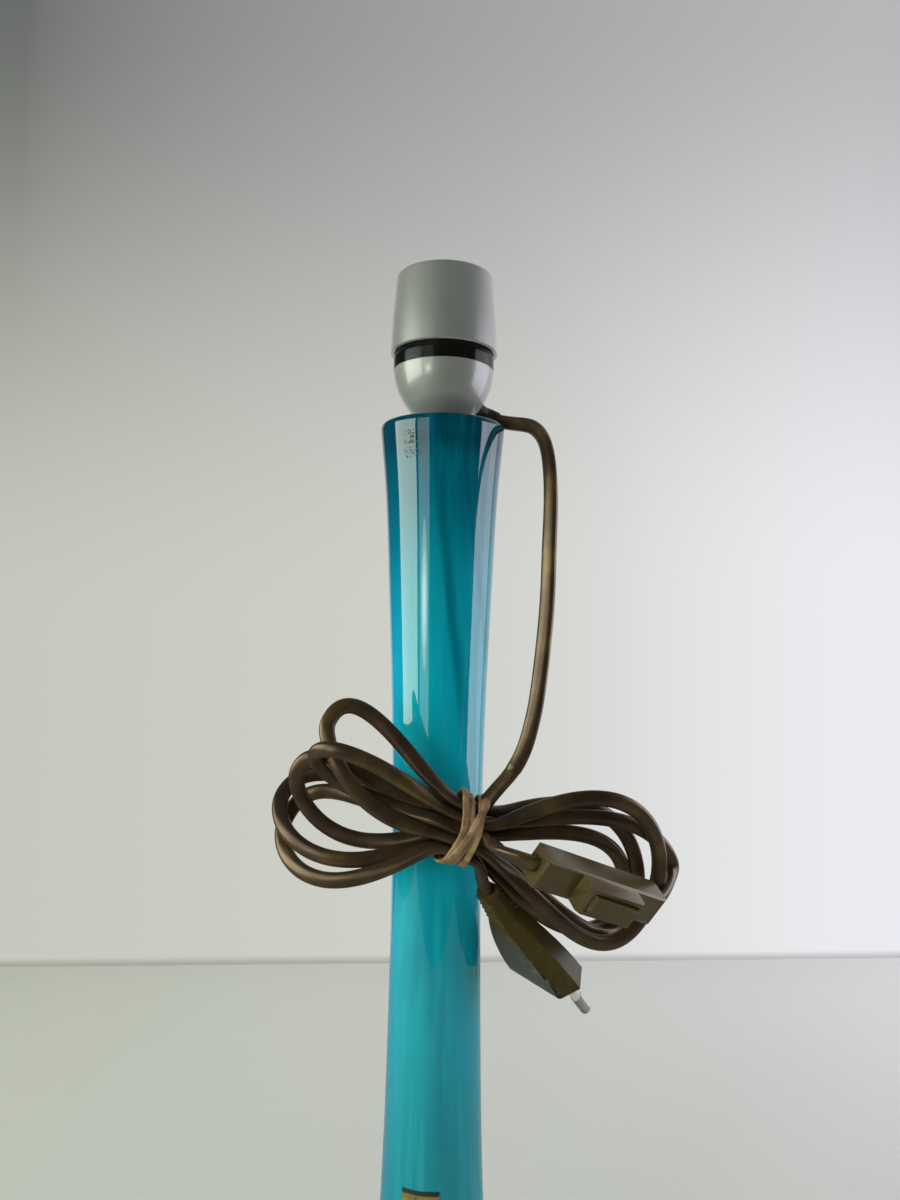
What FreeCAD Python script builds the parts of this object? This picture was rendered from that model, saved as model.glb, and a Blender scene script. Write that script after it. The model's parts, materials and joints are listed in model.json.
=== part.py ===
import FreeCAD, Part
import math
import os

# A glass table lamp, put away with its cord in a hank round its neck.
# Millimetres, +Z up. The origin is on the table, under the middle of the foot.

Vec = FreeCAD.Vector

# Glass base
pad_thickness = 1.5
pad_inset = 4.0
glass_height = 378.5
glass_wall = 4.0
glass_floor = 16.0
foot_radius = 50.0
foot_edge_height = 6.0
rim_stations = [(23.4, 0.0), (21.1, 24.0), (19.3, 58.0), (17.4, 102.0)]   # radius, below the rim
waist_station = (16.4, 197.0)                                            # radius, above the foot
foot_stations = [(17.0, 148.0), (18.5, 98.0), (24.0, 52.0), (36.0, 24.0)]
foot_shoulder = (47.5, 11.0)
rim_round = 1.6
foot_round = 1.8

# Blank foil label, stuck on the front of the glass
label_top = 112.5
label_height = 20.0
label_from_angle = -123.0
label_to_angle = -81.0
label_thickness = 0.2
glue_gap = 0.05

# Stopper and threaded tube that carry the holder
bung_depth = 8.0
bung_proud = -1.0
bung_clearance = 0.15
washer_radius = 12.0
washer_thickness = 1.5
nipple_radius = 5.0
nipple_bore = 3.6
nipple_below = 8.0
nipple_above = 2.0
nut_across_flats = 14.0
nut_height = 3.5
thread_clearance = 0.1
holder_lift = 3.0

# Holder: dome, black collar and sleeve
dome_height = 18.3
dome_radius = 18.95
dome_flat_radius = 9.8
dome_curve_radius = 26.8
dome_wall = 2.2
collar_height = 8.0
collar_spigot_depth = 5.5
collar_spigot_taper = 0.7
collar_chamfer_height = 3.9
collar_chamfer_width = 0.9
collar_bore = 14.9
collar_neck_wall = 2.25
collar_shoulder_radius = 12.5
collar_shoulder_height = 1.7
collar_neck_height = 18.0
collar_neck_radius = collar_bore + collar_neck_wall
collar_thread_pitch = 2.5
collar_thread_depth = 0.5
collar_thread_margin = 3.0
seat_clearance = 0.2
sleeve_wall = 1.2
sleeve_lip_overhang = 1.25
sleeve_lip_drop = 1.5
sleeve_stations = [(1.35, 5.5), (0.95, 13.5), (0.45, 20.5), (-0.1, 27.2)]   # beyond its fit on the neck, above the lip
sleeve_height = 30.2
sleeve_top_round = 1.6
sleeve_mouth_radius = 15.0
sleeve_mouth_step = 0.4

# Contacts inside the holder
block_height = 10.0
shell_land_radius = 12.2
shell_root_radius = 13.3
shell_pitch = 3.629
shell_land = 0.8
shell_turns = 5
shell_skirt = 5.0
shell_wall = 0.35
rivet_radius = 1.2
rivet_head_radius = 1.9
rivet_head_height = 0.7
contact_width = 5.0
contact_thickness = 0.5
contact_reach = 6.4
contact_rise = 4.0
contact_lean = 1.0
contact_foot = 1.6
contact_flat = 3.0
contact_gap = 0.1
flange_margin = 1.0
rivet_margin = 1.4
terminal_size = 6.0
terminal_height = 6.5
terminal_offset = 7.5
terminal_bore = 1.2
terminal_bore_drop = 0.5
screw_shank_radius = 1.3
screw_head_radius = 2.3
screw_head_height = 1.6
screw_slot_width = 0.6
screw_slot_depth = 0.4
screw_tip_gap = 0.2
wire_radius = 0.9
wire_clearance = 0.2
wire_gap = 0.1
wire_straight = 3.0
wire_turn = (6.75, 5.0, 1.6)
wire_entry = 2.2
strap_thickness = 0.5

# Cord
cord_radius = 2.0
gland_radius = 3.6
gland_inside = 3.5
gland_taper = 3.0
gland_end_wall = 0.6
exit_angle = 40.0
exit_height = 7.2
exit_tilt = -16.0

# Free lead, from the gland over the rim of the glass and down to the hank
lead_route = [(20.0, 11.6, 386.9), (24.0, 7.2, 385.2), (27.6, 2.8, 383.9), (30.6, -0.6, 382.6),
              (33.4, -4.6, 380.2), (35.8, -9.8, 376.0), (37.4, -15.4, 369.6), (38.2, -20.0, 361.0),
              (38.4, -22.8, 349.0), (37.6, -25.0, 332.0), (37.2, -26.2, 314.0), (35.4, -26.9, 296.0),
              (32.9, -27.2, 279.0), (31.0, -27.3, 269.0)]
lead_end = Vec(26.0, -27.8, 256.8)
lead_end_way = Vec(-0.62, -0.1, -0.78)
lead_last_run = 6.0
lead_first_run = 5.0
lead_inside = 5.5

# Hank: its waist in front of the glass, and the slots that the strands take there
waist_point = Vec(10.0, -26.5, 235.8)
waist_tilt = 20.0
waist_half = 8.0
row_step = 5.1
column_step = 2.8
slot_places = [(2, 1), (-1, 1), (1, 1), (0, 1), (1, -1), (-1, -1), (2, -1), (-2, -1.25), (0, -1), (-2, 1)]

# Loops in winding order: side, reach, lean, bend, upper and lower breadth, depth and twist.
# A loop leaves slot n and comes back through slot n + 1.
loops = [(-1, 47.0, -0.11, 0.44, 11.0, 3.5, -1.0, -3.5),
         (1, 63.0, 0.56, -0.54, 16.0, 27.0, -16.5, -1.0),
         (-1, 48.0, 0.06, 0.02, 5.0, 5.0, 4.5, 7.0),
         (1, 76.0, -0.06, -0.10, 23.0, 21.5, -27.0, -1.0),
         (-1, 53.0, -0.64, 0.58, 11.5, 6.0, -1.5, 2.5),
         (1, 61.0, 0.17, -0.37, 16.0, 14.0, -20.5, 2.0),
         (-1, 56.0, -0.65, 0.39, 9.0, 6.0, -11.0, -7.5),
         (1, 56.0, 0.0, -0.07, 15.5, 12.0, -21.5, 0.0),
         (-1, 52.0, -0.86, 0.52, 14.5, 8.0, -16.0, -5.0)]
lamp_side_loops = 3
switch_loop_start = 0.62

# Rubber band round the waist
band_radius = 0.8
band_turns = 4
band_pitch = 2.4
band_gap = 0.5
band_shift = -0.5
band_slant = 0.2

# In-line switch: middle, long axis and the axis down its rocker face
switch_middle = Vec(52.7, -34.0, 219.9)
switch_along = Vec(0.818, 0.46, -0.345)
switch_down = Vec(-0.503, 0.282, -0.817)
switch_length = 51.0
switch_width = 11.2
switch_depth = 10.1
switch_seam = 2.6
switch_wall = 1.3
switch_edge = 0.6
bezel_start = 14.6
bezel_length = 23.3
bezel_width = 10.0
bezel_height = 6.4
bezel_chamfer = 1.4
bezel_wall = 1.5
rocker_clearance = 0.35
rocker_proud = 1.7
rocker_depth = 6.0
rocker_tilt = 5.0
rocker_chamfer = 1.2
rocker_end_chamfer = 0.48
rocker_keel = 2.42
pin_radius = 0.75
pin_clearance = 0.08
pin_seat = 1.1
pivot_depth = 3.2
plunger_radius = 1.1
plunger_length = 2.6
bridge_length = 13.0
bridge_width = 3.6
bridge_thickness = 0.6
bridge_gap = 0.45
bridge_tilt_share = 0.8
bridge_seat = 0.1
post_width = 2.4
post_slope = 1.0
stud_radius = 1.0
stud_gap = 0.35
finger_thickness = 0.6
switch_terminal_length = 5.0
switch_terminal_width = 4.2
switch_terminal_height = 3.4
switch_terminal_place = 15.0
clamp_screw_radius = 0.91
clamp_screw_head_radius = 1.5
clamp_screw_head_height = 0.9
clamp_slot_width = 0.45
clamp_slot_depth = 0.45
clamp_tip_gap = 0.1
core_radius = 0.7
core_offset = 0.9
core_straight = 1.8
core_turn = 3.2
clamp_offset = 0.8
case_screw_place = 20.5
case_screw_offset = 2.9
case_screw_radius = 0.8
case_screw_shank_radius = 0.68
case_pilot_clearance = 0.04
case_screw_head = 1.5
case_slot_width = 0.4
case_slot_depth = 0.3
case_screw_tip = 2.05
case_pilot_start = 2.2
case_post_radius = 1.35
case_post_start = 1.0

# Plug: middle of its pin face, width axis and thickness axis
plug_face = Vec(40.3, -1.8, 181.4)
plug_across = Vec(0.606, -0.786, -0.12)
plug_through = Vec(-0.627, -0.38, -0.681)
plug_width = 35.3
plug_flat = 26.0
plug_thickness = 13.7
plug_length = 34.0
plug_relief = 12.4
plug_swell_power = 1.8
plug_swell_steps = 6
plug_neck_width = 12.0
plug_neck_flat = 8.0
plug_neck_thickness = 9.0
relief_width = 8.0
relief_flat = 5.4
relief_thickness = 6.6
relief_ribs = 5
relief_rib_depth = 0.9
relief_rib_share = 0.7
relief_lip_width = 9.4
relief_lip_depth = 6.8
relief_lip_thickness = 1.6
plug_pin_radius = 2.0
plug_pin_length = 19.0
plug_pin_spacing = 18.6
plug_pin_seat = 9.0
pin_sleeve_wall = 0.38
pin_sleeve_step = 0.2
pin_sleeve_clearance = 0.02
pin_sleeve_length = 10.0
pin_tip_round = 1.4

# Hand-chosen stretches of the hank that aren't loops
lead_entry = (5.8, 2.2)
lead_entry_way = (-0.6, -0.8)
lead_slot_start = (1.5, -0.3)
lead_slot_way = (-1.0, -0.1)
switch_entry_rise = 1.8
switch_entry_way = (0.8, 0.6)
switch_entry_route = [(Vec(21.2, -43.0, 231.8), Vec(0.0, -0.99, -0.1))]
tail_start = 8.2
tail_turn = (0.8, -0.55, -0.2)

# Heights up the lamp, worked out from the sizes above
glass_bottom = pad_thickness
rim_height = glass_bottom + glass_height
bung_top = rim_height + bung_proud
bung_bottom = bung_top - bung_depth
dome_bottom = rim_height + holder_lift
dome_top = dome_bottom + dome_height
collar_top = dome_top + collar_height
block_bottom = dome_top + collar_shoulder_height
block_top = block_bottom + block_height
lip_height = collar_top - sleeve_lip_drop

# Radii that follow from the sizes above
block_radius = collar_bore - seat_clearance
shell_flange_radius = contact_reach + contact_foot + flange_margin
rivet_circle = shell_flange_radius + rivet_margin
sleeve_fit_radius = collar_neck_radius + seat_clearance + sleeve_wall
pin_sleeve_radius = plug_pin_radius - pin_sleeve_step
pin_core_radius = pin_sleeve_radius - pin_sleeve_wall - pin_sleeve_clearance


def unit(vector):
    result = Vec(vector)
    result.normalize()
    return result


def ring_point(radius, height):
    return Vec(radius, 0, height)


def turned(edges):
    """Solid of revolution of a closed outline in the XZ plane."""
    face = Part.Face(Part.Wire(edges))
    return face.revolve(Vec(0, 0, 0), Vec(0, 0, 1), 360)


def line(start, end):
    return Part.LineSegment(start, end).toShape()


def chain(points):
    """Straight edges through the points, closed."""
    return [line(a, b) for a, b in zip(points, points[1:] + points[:1])]


def turned_outline(points):
    return turned(chain([ring_point(radius, height) for radius, height in points]))


def cylinder(radius, height, base, axis=Vec(0, 0, 1)):
    return Part.makeCylinder(radius, height, base, axis)


def tube_ring(outer, inner, height, base, axis=Vec(0, 0, 1)):
    return cylinder(outer, height, base, axis).cut(cylinder(inner, height, base, axis))


def box(length, width, height, middle):
    """Box centred on middle."""
    corner = middle - Vec(length / 2, width / 2, height / 2)
    return Part.makeBox(length, width, height, corner)


def hexagon_prism(across_flats, height, base):
    radius = across_flats / math.sqrt(3)
    corners = [base + Vec(radius * math.cos(math.radians(60 * i)), radius * math.sin(math.radians(60 * i)), 0)
               for i in range(6)]
    return Part.Face(Part.Wire(chain(corners))).extrude(Vec(0, 0, height))


def group(solids):
    return Part.makeCompound(solids)


def frame(middle, first, second):
    """Placement whose X and Y run along first and second."""
    x_axis = unit(first)
    z_axis = unit(x_axis.cross(second))
    y_axis = z_axis.cross(x_axis)
    matrix = FreeCAD.Matrix(x_axis.x, y_axis.x, z_axis.x, middle.x,
                            x_axis.y, y_axis.y, z_axis.y, middle.y,
                            x_axis.z, y_axis.z, z_axis.z, middle.z,
                            0, 0, 0, 1)
    return FreeCAD.Placement(matrix)


def placed(shape, placement):
    result = shape.copy()
    result.Placement = placement.multiply(shape.Placement)
    return result


# Glass, pad and label

def glass_curve(inset):
    """Side of the glass from the rim down to the foot's shoulder, moved in by inset."""
    points = [(radius, rim_height - drop) for radius, drop in rim_stations]
    points.append((waist_station[0], glass_bottom + waist_station[1]))
    points += [(radius, glass_bottom + height) for radius, height in foot_stations]
    points.append((foot_shoulder[0], glass_bottom + foot_shoulder[1]))
    curve = Part.BSplineCurve()
    curve.interpolate([ring_point(radius - inset, height) for radius, height in points])
    return curve


def glass_solid(inset, floor):
    """The glass's outer form moved in by inset, cut off flat at floor."""
    curve = glass_curve(inset)
    top = curve.value(curve.FirstParameter)
    end = curve.value(curve.LastParameter)
    edges = [curve.toShape()]
    if inset:
        low = ring_point(end.x, glass_bottom)
        edges.append(line(end, low))
    else:
        brow = ring_point(foot_radius, glass_bottom + foot_edge_height)
        low = ring_point(foot_radius, glass_bottom)
        edges.append(line(end, brow))
        edges.append(line(brow, low))
    axis_low = ring_point(0, glass_bottom)
    axis_top = ring_point(0, top.z)
    edges += [line(low, axis_low), line(axis_low, axis_top), line(axis_top, top)]
    solid = turned(edges)
    slab = cylinder(foot_radius * 2, glass_height * 2, ring_point(0, floor))
    return solid.common(slab)


def make_glass_body():
    body = glass_solid(0, glass_bottom).cut(glass_solid(glass_wall, glass_bottom + glass_floor))
    rim_edges = [edge for edge in body.Edges
                 if abs(edge.BoundBox.ZMin - rim_height) < 0.01 and edge.BoundBox.ZLength < 0.01]
    body = body.makeFillet(rim_round, rim_edges)
    foot_edges = [edge for edge in body.Edges
                  if edge.BoundBox.ZMax < glass_bottom + 0.01 and edge.BoundBox.XMax > foot_radius - 0.01]
    return body.makeFillet(foot_round, foot_edges)


def make_base_pad():
    return cylinder(foot_radius - pad_inset, pad_thickness, Vec(0, 0, 0))


def make_foil_label():
    curve_outer = glass_solid(-glue_gap - label_thickness, glass_bottom)
    curve_inner = glass_solid(-glue_gap, glass_bottom)
    skin = curve_outer.cut(curve_inner)
    span = label_to_angle - label_from_angle
    sector = Part.makeCylinder(foot_radius, label_height, ring_point(0, label_top - label_height),
                               Vec(0, 0, 1), span)
    sector.rotate(Vec(0, 0, 0), Vec(0, 0, 1), label_from_angle)
    return skin.common(sector)


# Stopper, threaded tube and nuts

def make_mouth_bung():
    body = glass_solid(glass_wall + bung_clearance, bung_bottom)
    body = body.common(cylinder(foot_radius, bung_depth, ring_point(0, bung_bottom)))
    return body.cut(cylinder(nipple_radius + thread_clearance, bung_depth, ring_point(0, bung_bottom)))


def make_bung_washer():
    base = ring_point(0, bung_bottom - washer_thickness)
    return tube_ring(washer_radius, nipple_radius + thread_clearance, washer_thickness, base)


def nut_heights():
    below_washer = bung_bottom - washer_thickness - nut_height
    in_dome = dome_bottom + dome_wall
    return [below_washer, in_dome]


def nut_at(height, thickness):
    bore = cylinder(nipple_radius + thread_clearance, thickness, ring_point(0, height))
    return hexagon_prism(nut_across_flats, thickness, ring_point(0, height)).cut(bore)


def make_nipple_nuts():
    nuts = [nut_at(height, nut_height) for height in nut_heights()]
    nuts.append(nut_at(bung_top, dome_bottom - bung_top))
    return group(nuts)


def make_threaded_nipple():
    bottom = bung_bottom - washer_thickness - nipple_below
    top = dome_bottom + dome_wall + nut_height + nipple_above
    return tube_ring(nipple_radius, nipple_bore, top - bottom, ring_point(0, bottom))


# Holder

def dome_centre():
    """Centre of the arc that the dome's side is turned from."""
    low = ring_point(dome_flat_radius, dome_bottom)
    high = ring_point(dome_radius, dome_top)
    chord = high - low
    inward = unit(Vec(-chord.z, 0, chord.x))
    return (low + high) * 0.5 + inward * math.sqrt(dome_curve_radius ** 2 - chord.Length ** 2 / 4)


def on_dome(curve_radius, height):
    centre = dome_centre()
    reach = math.sqrt(curve_radius ** 2 - (height - centre.z) ** 2)
    return ring_point(centre.x + reach, height)


def bowl(curve_radius, bottom, top):
    """Solid under the dome's curve, with its own radius about the same centre."""
    low = on_dome(curve_radius, bottom)
    high = on_dome(curve_radius, top)
    halfway = on_dome(curve_radius, (bottom + top) / 2)
    axis_low = ring_point(0, bottom)
    axis_high = ring_point(0, top)
    side = Part.Arc(low, halfway, high).toShape()
    return turned([line(axis_low, low), side, line(high, axis_high), line(axis_high, axis_low)])


def exit_frame():
    """Where the cord leaves the dome: a point on its outside and the way out."""
    angle = math.radians(exit_angle)
    tilt = math.radians(exit_tilt)
    way = Vec(math.cos(angle) * math.cos(tilt), math.sin(angle) * math.cos(tilt), math.sin(tilt))
    outside = on_dome(dome_curve_radius, dome_bottom + exit_height)
    return Vec(outside.x * math.cos(angle), outside.x * math.sin(angle), outside.z), way


def make_holder_dome():
    shell = bowl(dome_curve_radius, dome_bottom, dome_top)
    shell = shell.cut(bowl(dome_curve_radius - dome_wall, dome_bottom + dome_wall, dome_top))
    shell = shell.cut(cylinder(nipple_radius + thread_clearance, dome_wall, ring_point(0, dome_bottom)))
    point, way = exit_frame()
    return shell.cut(cylinder(gland_radius + thread_clearance, 2 * dome_height,
                              point - way * dome_height / 2, way))


def make_cord_gland():
    point, way = exit_frame()
    inner_end = point - way * gland_inside
    bore_radius = cord_radius + seat_clearance
    body = cylinder(gland_radius, gland_inside, inner_end, way)
    taper = Part.makeCone(gland_radius, bore_radius + gland_end_wall, gland_taper, point, way)
    bore = cylinder(bore_radius, gland_inside + gland_taper, inner_end, way)
    return body.fuse(taper).cut(bore).removeSplitter()


def thread_grooves(radius, depth, pitch, bottom, top):
    """Ring grooves with sloping sides, each three fifths of the pitch wide, as solids to cut away."""
    grooves = []
    fifth = pitch / 5
    low = bottom
    while low + pitch < top:
        outline = [(radius + depth, low), (radius + depth, low + 3 * fifth),
                   (radius - depth, low + 2 * fifth), (radius - depth, low + fifth)]
        grooves.append(turned_outline(outline))
        low += pitch
    return grooves


def make_holder_collar():
    spigot_radius = dome_radius - dome_wall - seat_clearance
    neck_top = collar_top + collar_neck_height
    outline = [(collar_shoulder_radius, dome_top - collar_spigot_depth),
               (spigot_radius - 2 * collar_spigot_taper, dome_top - collar_spigot_depth),
               (spigot_radius - collar_spigot_taper, dome_top),
               (dome_radius, dome_top),
               (dome_radius, collar_top - collar_chamfer_height),
               (dome_radius - collar_chamfer_width, collar_top),
               (collar_neck_radius, collar_top),
               (collar_neck_radius, neck_top),
               (collar_bore, neck_top),
               (collar_bore, block_bottom),
               (collar_shoulder_radius, block_bottom)]
    body = turned_outline(outline)
    for groove in thread_grooves(collar_neck_radius, collar_thread_depth, collar_thread_pitch,
                                 collar_top + collar_thread_margin, neck_top):
        body = body.cut(groove)
    return body


def sleeve_side(inset):
    points = [(dome_radius + sleeve_lip_overhang, 0.0)]
    points += [(sleeve_fit_radius + swell, height) for swell, height in sleeve_stations]
    curve = Part.BSplineCurve()
    curve.interpolate([ring_point(radius - inset, lip_height + height) for radius, height in points])
    return curve


def make_holder_sleeve():
    outer = sleeve_side(0)
    inner = sleeve_side(sleeve_wall)
    outer_low = outer.value(outer.FirstParameter)
    outer_high = outer.value(outer.LastParameter)
    inner_low = inner.value(inner.FirstParameter)
    inner_high = inner.value(inner.LastParameter)
    top = lip_height + sleeve_height
    round_end = ring_point(outer_high.x - sleeve_top_round, top)
    swell = sleeve_top_round * (1 - math.sqrt(0.5))
    round_middle = ring_point(outer_high.x - swell, top - swell * (top - outer_high.z) / sleeve_top_round)
    mouth_top = ring_point(sleeve_mouth_radius, top)
    mouth_low = ring_point(sleeve_mouth_radius, top - sleeve_wall)
    under = ring_point(inner_high.x - sleeve_mouth_step, top - sleeve_wall)
    edges = [outer.toShape(),
             Part.Arc(outer_high, round_middle, round_end).toShape(),
             line(round_end, mouth_top),
             line(mouth_top, mouth_low),
             line(mouth_low, under),
             line(under, inner_high),
             inner.toShape(),
             line(inner_low, outer_low)]
    return turned(edges)


# Contacts

def make_contact_block():
    body = cylinder(block_radius, block_height, ring_point(0, block_bottom))
    for side in (-1, 1):
        hole = cylinder(rivet_radius + thread_clearance, block_height, Vec(0, side * rivet_circle, block_bottom))
        body = body.cut(hole)
    slot = box(contact_thickness + seat_clearance, contact_width + seat_clearance, block_height,
               Vec(-contact_reach - contact_foot / 2, 0, block_bottom + block_height / 2))
    return body.cut(slot)


def shell_outline(radius_shift):
    """Radius and height of the wavy wall, bottom to top, moved out by radius_shift."""
    flank = (shell_pitch - 2 * shell_land) / 2
    height = block_top + shell_skirt
    points = [(shell_root_radius + radius_shift, block_top),
              (shell_root_radius + radius_shift, height - flank)]
    for turn in range(shell_turns):
        points.append((shell_land_radius + radius_shift, height))
        points.append((shell_land_radius + radius_shift, height + shell_land))
        points.append((shell_root_radius + radius_shift, height + shell_land + flank))
        points.append((shell_root_radius + radius_shift, height + 2 * shell_land + flank))
        height += shell_pitch
    points.append((shell_land_radius + radius_shift, height))
    points.append((shell_land_radius + radius_shift, height + shell_land))
    return points


def make_screw_shell():
    inner = shell_outline(0)
    outer = shell_outline(shell_wall)
    body = turned_outline(inner + outer[::-1])
    flange = tube_ring(shell_root_radius + shell_wall, shell_flange_radius, shell_wall,
                       ring_point(0, block_top))
    body = body.fuse(flange)
    for side in (-1, 1):
        hole = cylinder(rivet_radius + thread_clearance, shell_wall, Vec(0, side * rivet_circle, block_top))
        body = body.cut(hole)
    return body.removeSplitter()


def make_shell_rivets():
    rivets = []
    for side in (-1, 1):
        base = Vec(0, side * rivet_circle, block_bottom - rivet_head_height)
        shank = cylinder(rivet_radius, block_height + rivet_head_height + shell_wall, base)
        foot = cylinder(rivet_head_radius, rivet_head_height, base)
        head_base = Vec(0, side * rivet_circle, block_top + shell_wall)
        head = cylinder(rivet_radius, rivet_head_height, head_base)
        rivets.append(shank.fuse(foot).fuse(head).removeSplitter())
    return group(rivets)


def make_centre_contact():
    """Springy tongue that rises from its root to the middle of the socket."""
    foot = Vec(-contact_reach - contact_foot, 0, block_top + contact_gap)
    root = Vec(-contact_reach, 0, block_top + contact_gap)
    rise = Vec(-contact_lean, 0, block_top + contact_rise)
    end = Vec(contact_flat, 0, block_top + contact_rise)
    up = Vec(0, 0, contact_thickness)
    outline = [foot, root, rise, end, end + up, rise + up, root + up, foot + up]
    outline = [point - Vec(0, contact_width / 2, 0) for point in outline]
    return Part.Face(Part.Wire(chain(outline))).extrude(Vec(0, contact_width, 0))


def make_centre_strap():
    """Strip that leads from under the tongue's root down through the block to its terminal."""
    half = Vec(contact_thickness / 2, contact_width / 2, 0)
    corner = Vec(-contact_reach - contact_foot / 2, 0, block_bottom) - half
    return Part.makeBox(contact_thickness, contact_width, block_height, corner)


def make_side_contact():
    """Strap under the block, between a rivet's head and its terminal."""
    near = terminal_size / 2 + seat_clearance
    far = rivet_circle - rivet_head_radius - seat_clearance
    return box(terminal_offset + rivet_radius, far - near, strap_thickness,
               Vec(terminal_offset / 2, (near + far) / 2, block_bottom - strap_thickness / 2))


def make_holder_terminals():
    terminals = []
    for side in (-1, 1):
        middle = Vec(side * terminal_offset, 0, block_bottom - terminal_height / 2)
        body = box(terminal_size, terminal_size, terminal_height, middle)
        bore = cylinder(terminal_bore, terminal_size, middle - Vec(0, terminal_size / 2, terminal_bore_drop),
                        Vec(0, 1, 0))
        screw = cylinder(screw_shank_radius + thread_clearance, terminal_height / 2,
                         middle - Vec(0, 0, terminal_height / 2))
        terminals.append(body.cut(bore).cut(screw))
    return group(terminals)


def make_holder_terminal_screws():
    screws = []
    for side in (-1, 1):
        low = block_bottom - terminal_height
        base = Vec(side * terminal_offset, 0, low - screw_head_height)
        head = cylinder(screw_head_radius, screw_head_height, base)
        slot = box(screw_head_radius * 2, screw_slot_width, screw_slot_depth * 2, base)
        shank_length = terminal_height / 2 - terminal_bore_drop - wire_radius - screw_tip_gap
        shank = cylinder(screw_shank_radius, shank_length, base + Vec(0, 0, screw_head_height))
        screws.append(head.cut(slot).fuse(shank).removeSplitter())
    return group(screws)


# Tubes along a route

def arc_middle(start, way, end):
    """Middle of the arc that leaves start along way and ends at end, or None for a straight run."""
    chord = end - start
    along = unit(chord)
    across = way - along * way.dot(along)
    if across.Length < 0.002:
        return None
    angle = math.atan2(across.Length, way.dot(along))
    return start + chord * 0.5 + unit(across) * (chord.Length / 2 * math.tan(angle / 2))


def curve_edge(start, middle, end):
    if middle is None:
        return line(start, end)
    return Part.Arc(start, middle, end).toShape()


def biarc(start, start_way, end, end_way):
    """Two arcs that share a tangent, from start to end."""
    gap = end - start
    both = start_way + end_way
    share = 2 * (1 - start_way.dot(end_way))
    along = gap.dot(both)
    if share < 1e-6:
        reach = gap.dot(gap) / (2 * along)
    else:
        reach = (math.sqrt(along ** 2 + share * gap.dot(gap)) - along) / share
    joint = (start + end + (start_way - end_way) * reach) * 0.5
    first = curve_edge(start, arc_middle(start, start_way, joint), joint)
    second = curve_edge(joint, arc_middle(end, end_way * -1, joint), end)
    return [first, second]


def knot_edges(knots):
    """Edges through knots, each a point and the way that the cord runs there."""
    edges = []
    for (start, start_way), (end, end_way) in zip(knots, knots[1:]):
        edges += biarc(start, unit(start_way), end, unit(end_way))
    return edges


def route_edges(points):
    """Straight runs through points, each corner an arc as large as its two runs allow."""
    edges = []
    radii = []
    last = points[0]
    for before, corner, after in zip(points, points[1:], points[2:]):
        way_in = unit(corner - before)
        way_out = unit(after - corner)
        shorter = min((corner - before).Length, (after - corner).Length)
        turn = math.acos(max(-1.0, min(1.0, way_in.dot(way_out))))
        radii.append(0.45 * shorter / math.tan(turn / 2))
        arc_start = corner - way_in * 0.45 * shorter
        arc_end = corner + way_out * 0.45 * shorter
        edges.append(line(last, arc_start))
        edges.append(curve_edge(arc_start, arc_middle(arc_start, way_in, arc_end), arc_end))
        last = arc_end
    edges.append(line(last, points[-1]))
    return edges, radii


def swept(edges, radius):
    """Round tube along the edges."""
    spine = Part.Wire(edges)
    first = edges[0]
    start = first.valueAt(first.FirstParameter)
    way = first.tangentAt(first.FirstParameter)
    section = Part.Wire([Part.Circle(start, way, radius).toShape()])
    tube = spine.makePipeShell([section], True, False)
    print("   length %.1f, volume %.0f of %.0f" % (spine.Length, tube.Volume,
                                                   math.pi * radius ** 2 * spine.Length))
    return tube


def sample(edges, step=1.5):
    points = []
    for edge in edges:
        count = max(2, int(edge.Length / step) + 1)
        points += edge.discretize(Number=count)[:-1]
    points.append(edges[-1].valueAt(edges[-1].LastParameter))
    return points


def self_gap(points, radius, skip=7.0):
    """Least gap of a tube to itself, leaving out what is near along the tube."""
    places = [0.0]
    for a, b in zip(points, points[1:]):
        places.append(places[-1] + (b - a).Length)
    best = (1e9, None)
    for i, first in enumerate(points):
        for j in range(i + 1, len(points)):
            if places[j] - places[i] > skip:
                far = (first - points[j]).Length
                if far < best[0]:
                    best = (far, (first, points[j]))
    return best[0] - 2 * radius, best[1]


def between_gap(first_points, second_points, radii):
    far, pair = min((((a - b).Length, (a, b)) for a in first_points for b in second_points),
                    key=lambda item: item[0])
    return far - radii, pair


# Cord

def waist_axes():
    tilt = math.radians(waist_tilt)
    across = Vec(math.cos(tilt), 0, -math.sin(tilt))
    upward = Vec(math.sin(tilt), 0, math.cos(tilt))
    toward = Vec(0, -1, 0)
    return across, upward, toward


def at_waist(along, up, out):
    across, upward, toward = waist_axes()
    return waist_point + across * along + upward * up + toward * out


def slot_place(slot):
    rows, columns = slot_places[slot]
    return rows * row_step, columns * column_step


def loop_point(number, turn):
    """Point of a loop; turn goes from 0 at the slot it leaves to 1 at the slot it comes back to."""
    side, reach, lean, bend, upper, lower, depth, twist = loops[number]
    up_in, out_in = slot_place(number)
    up_back, out_back = slot_place(number + 1)
    angle = 2 * math.pi * turn
    along = reach * math.sin(angle / 2)
    wave = -side * math.sin(angle)
    breadth = upper if wave > 0 else lower
    up = up_in + (up_back - up_in) * turn + lean * along + bend * along ** 2 / reach + breadth * wave
    out = out_in + (out_back - out_in) * turn + depth * math.sin(angle / 2) ** 2 + twist * math.sin(angle)
    return at_waist(side * (waist_half + along), up, out)


def loop_way(number, turn):
    """The way that a loop runs at a turn."""
    step = 0.005
    low = max(0.0, turn - step)
    high = min(1.0, turn + step)
    return unit(loop_point(number, high) - loop_point(number, low))


def loop_knots(number, start=0.0, end=1.0):
    """Quarter-turn knots of a loop; at the waist the cord runs between its own way and the waist's."""
    side = loops[number][0]
    across = waist_axes()[0]
    knots = []
    for turn in (0.0, 0.25, 0.5, 0.75, 1.0):
        if turn < start or turn > end:
            continue
        way = loop_way(number, turn)
        if turn == 0.0:
            way = unit(way + across * side)
        if turn == 1.0:
            way = unit(way - across * side)
        knots.append((loop_point(number, turn), way))
    return knots


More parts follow.
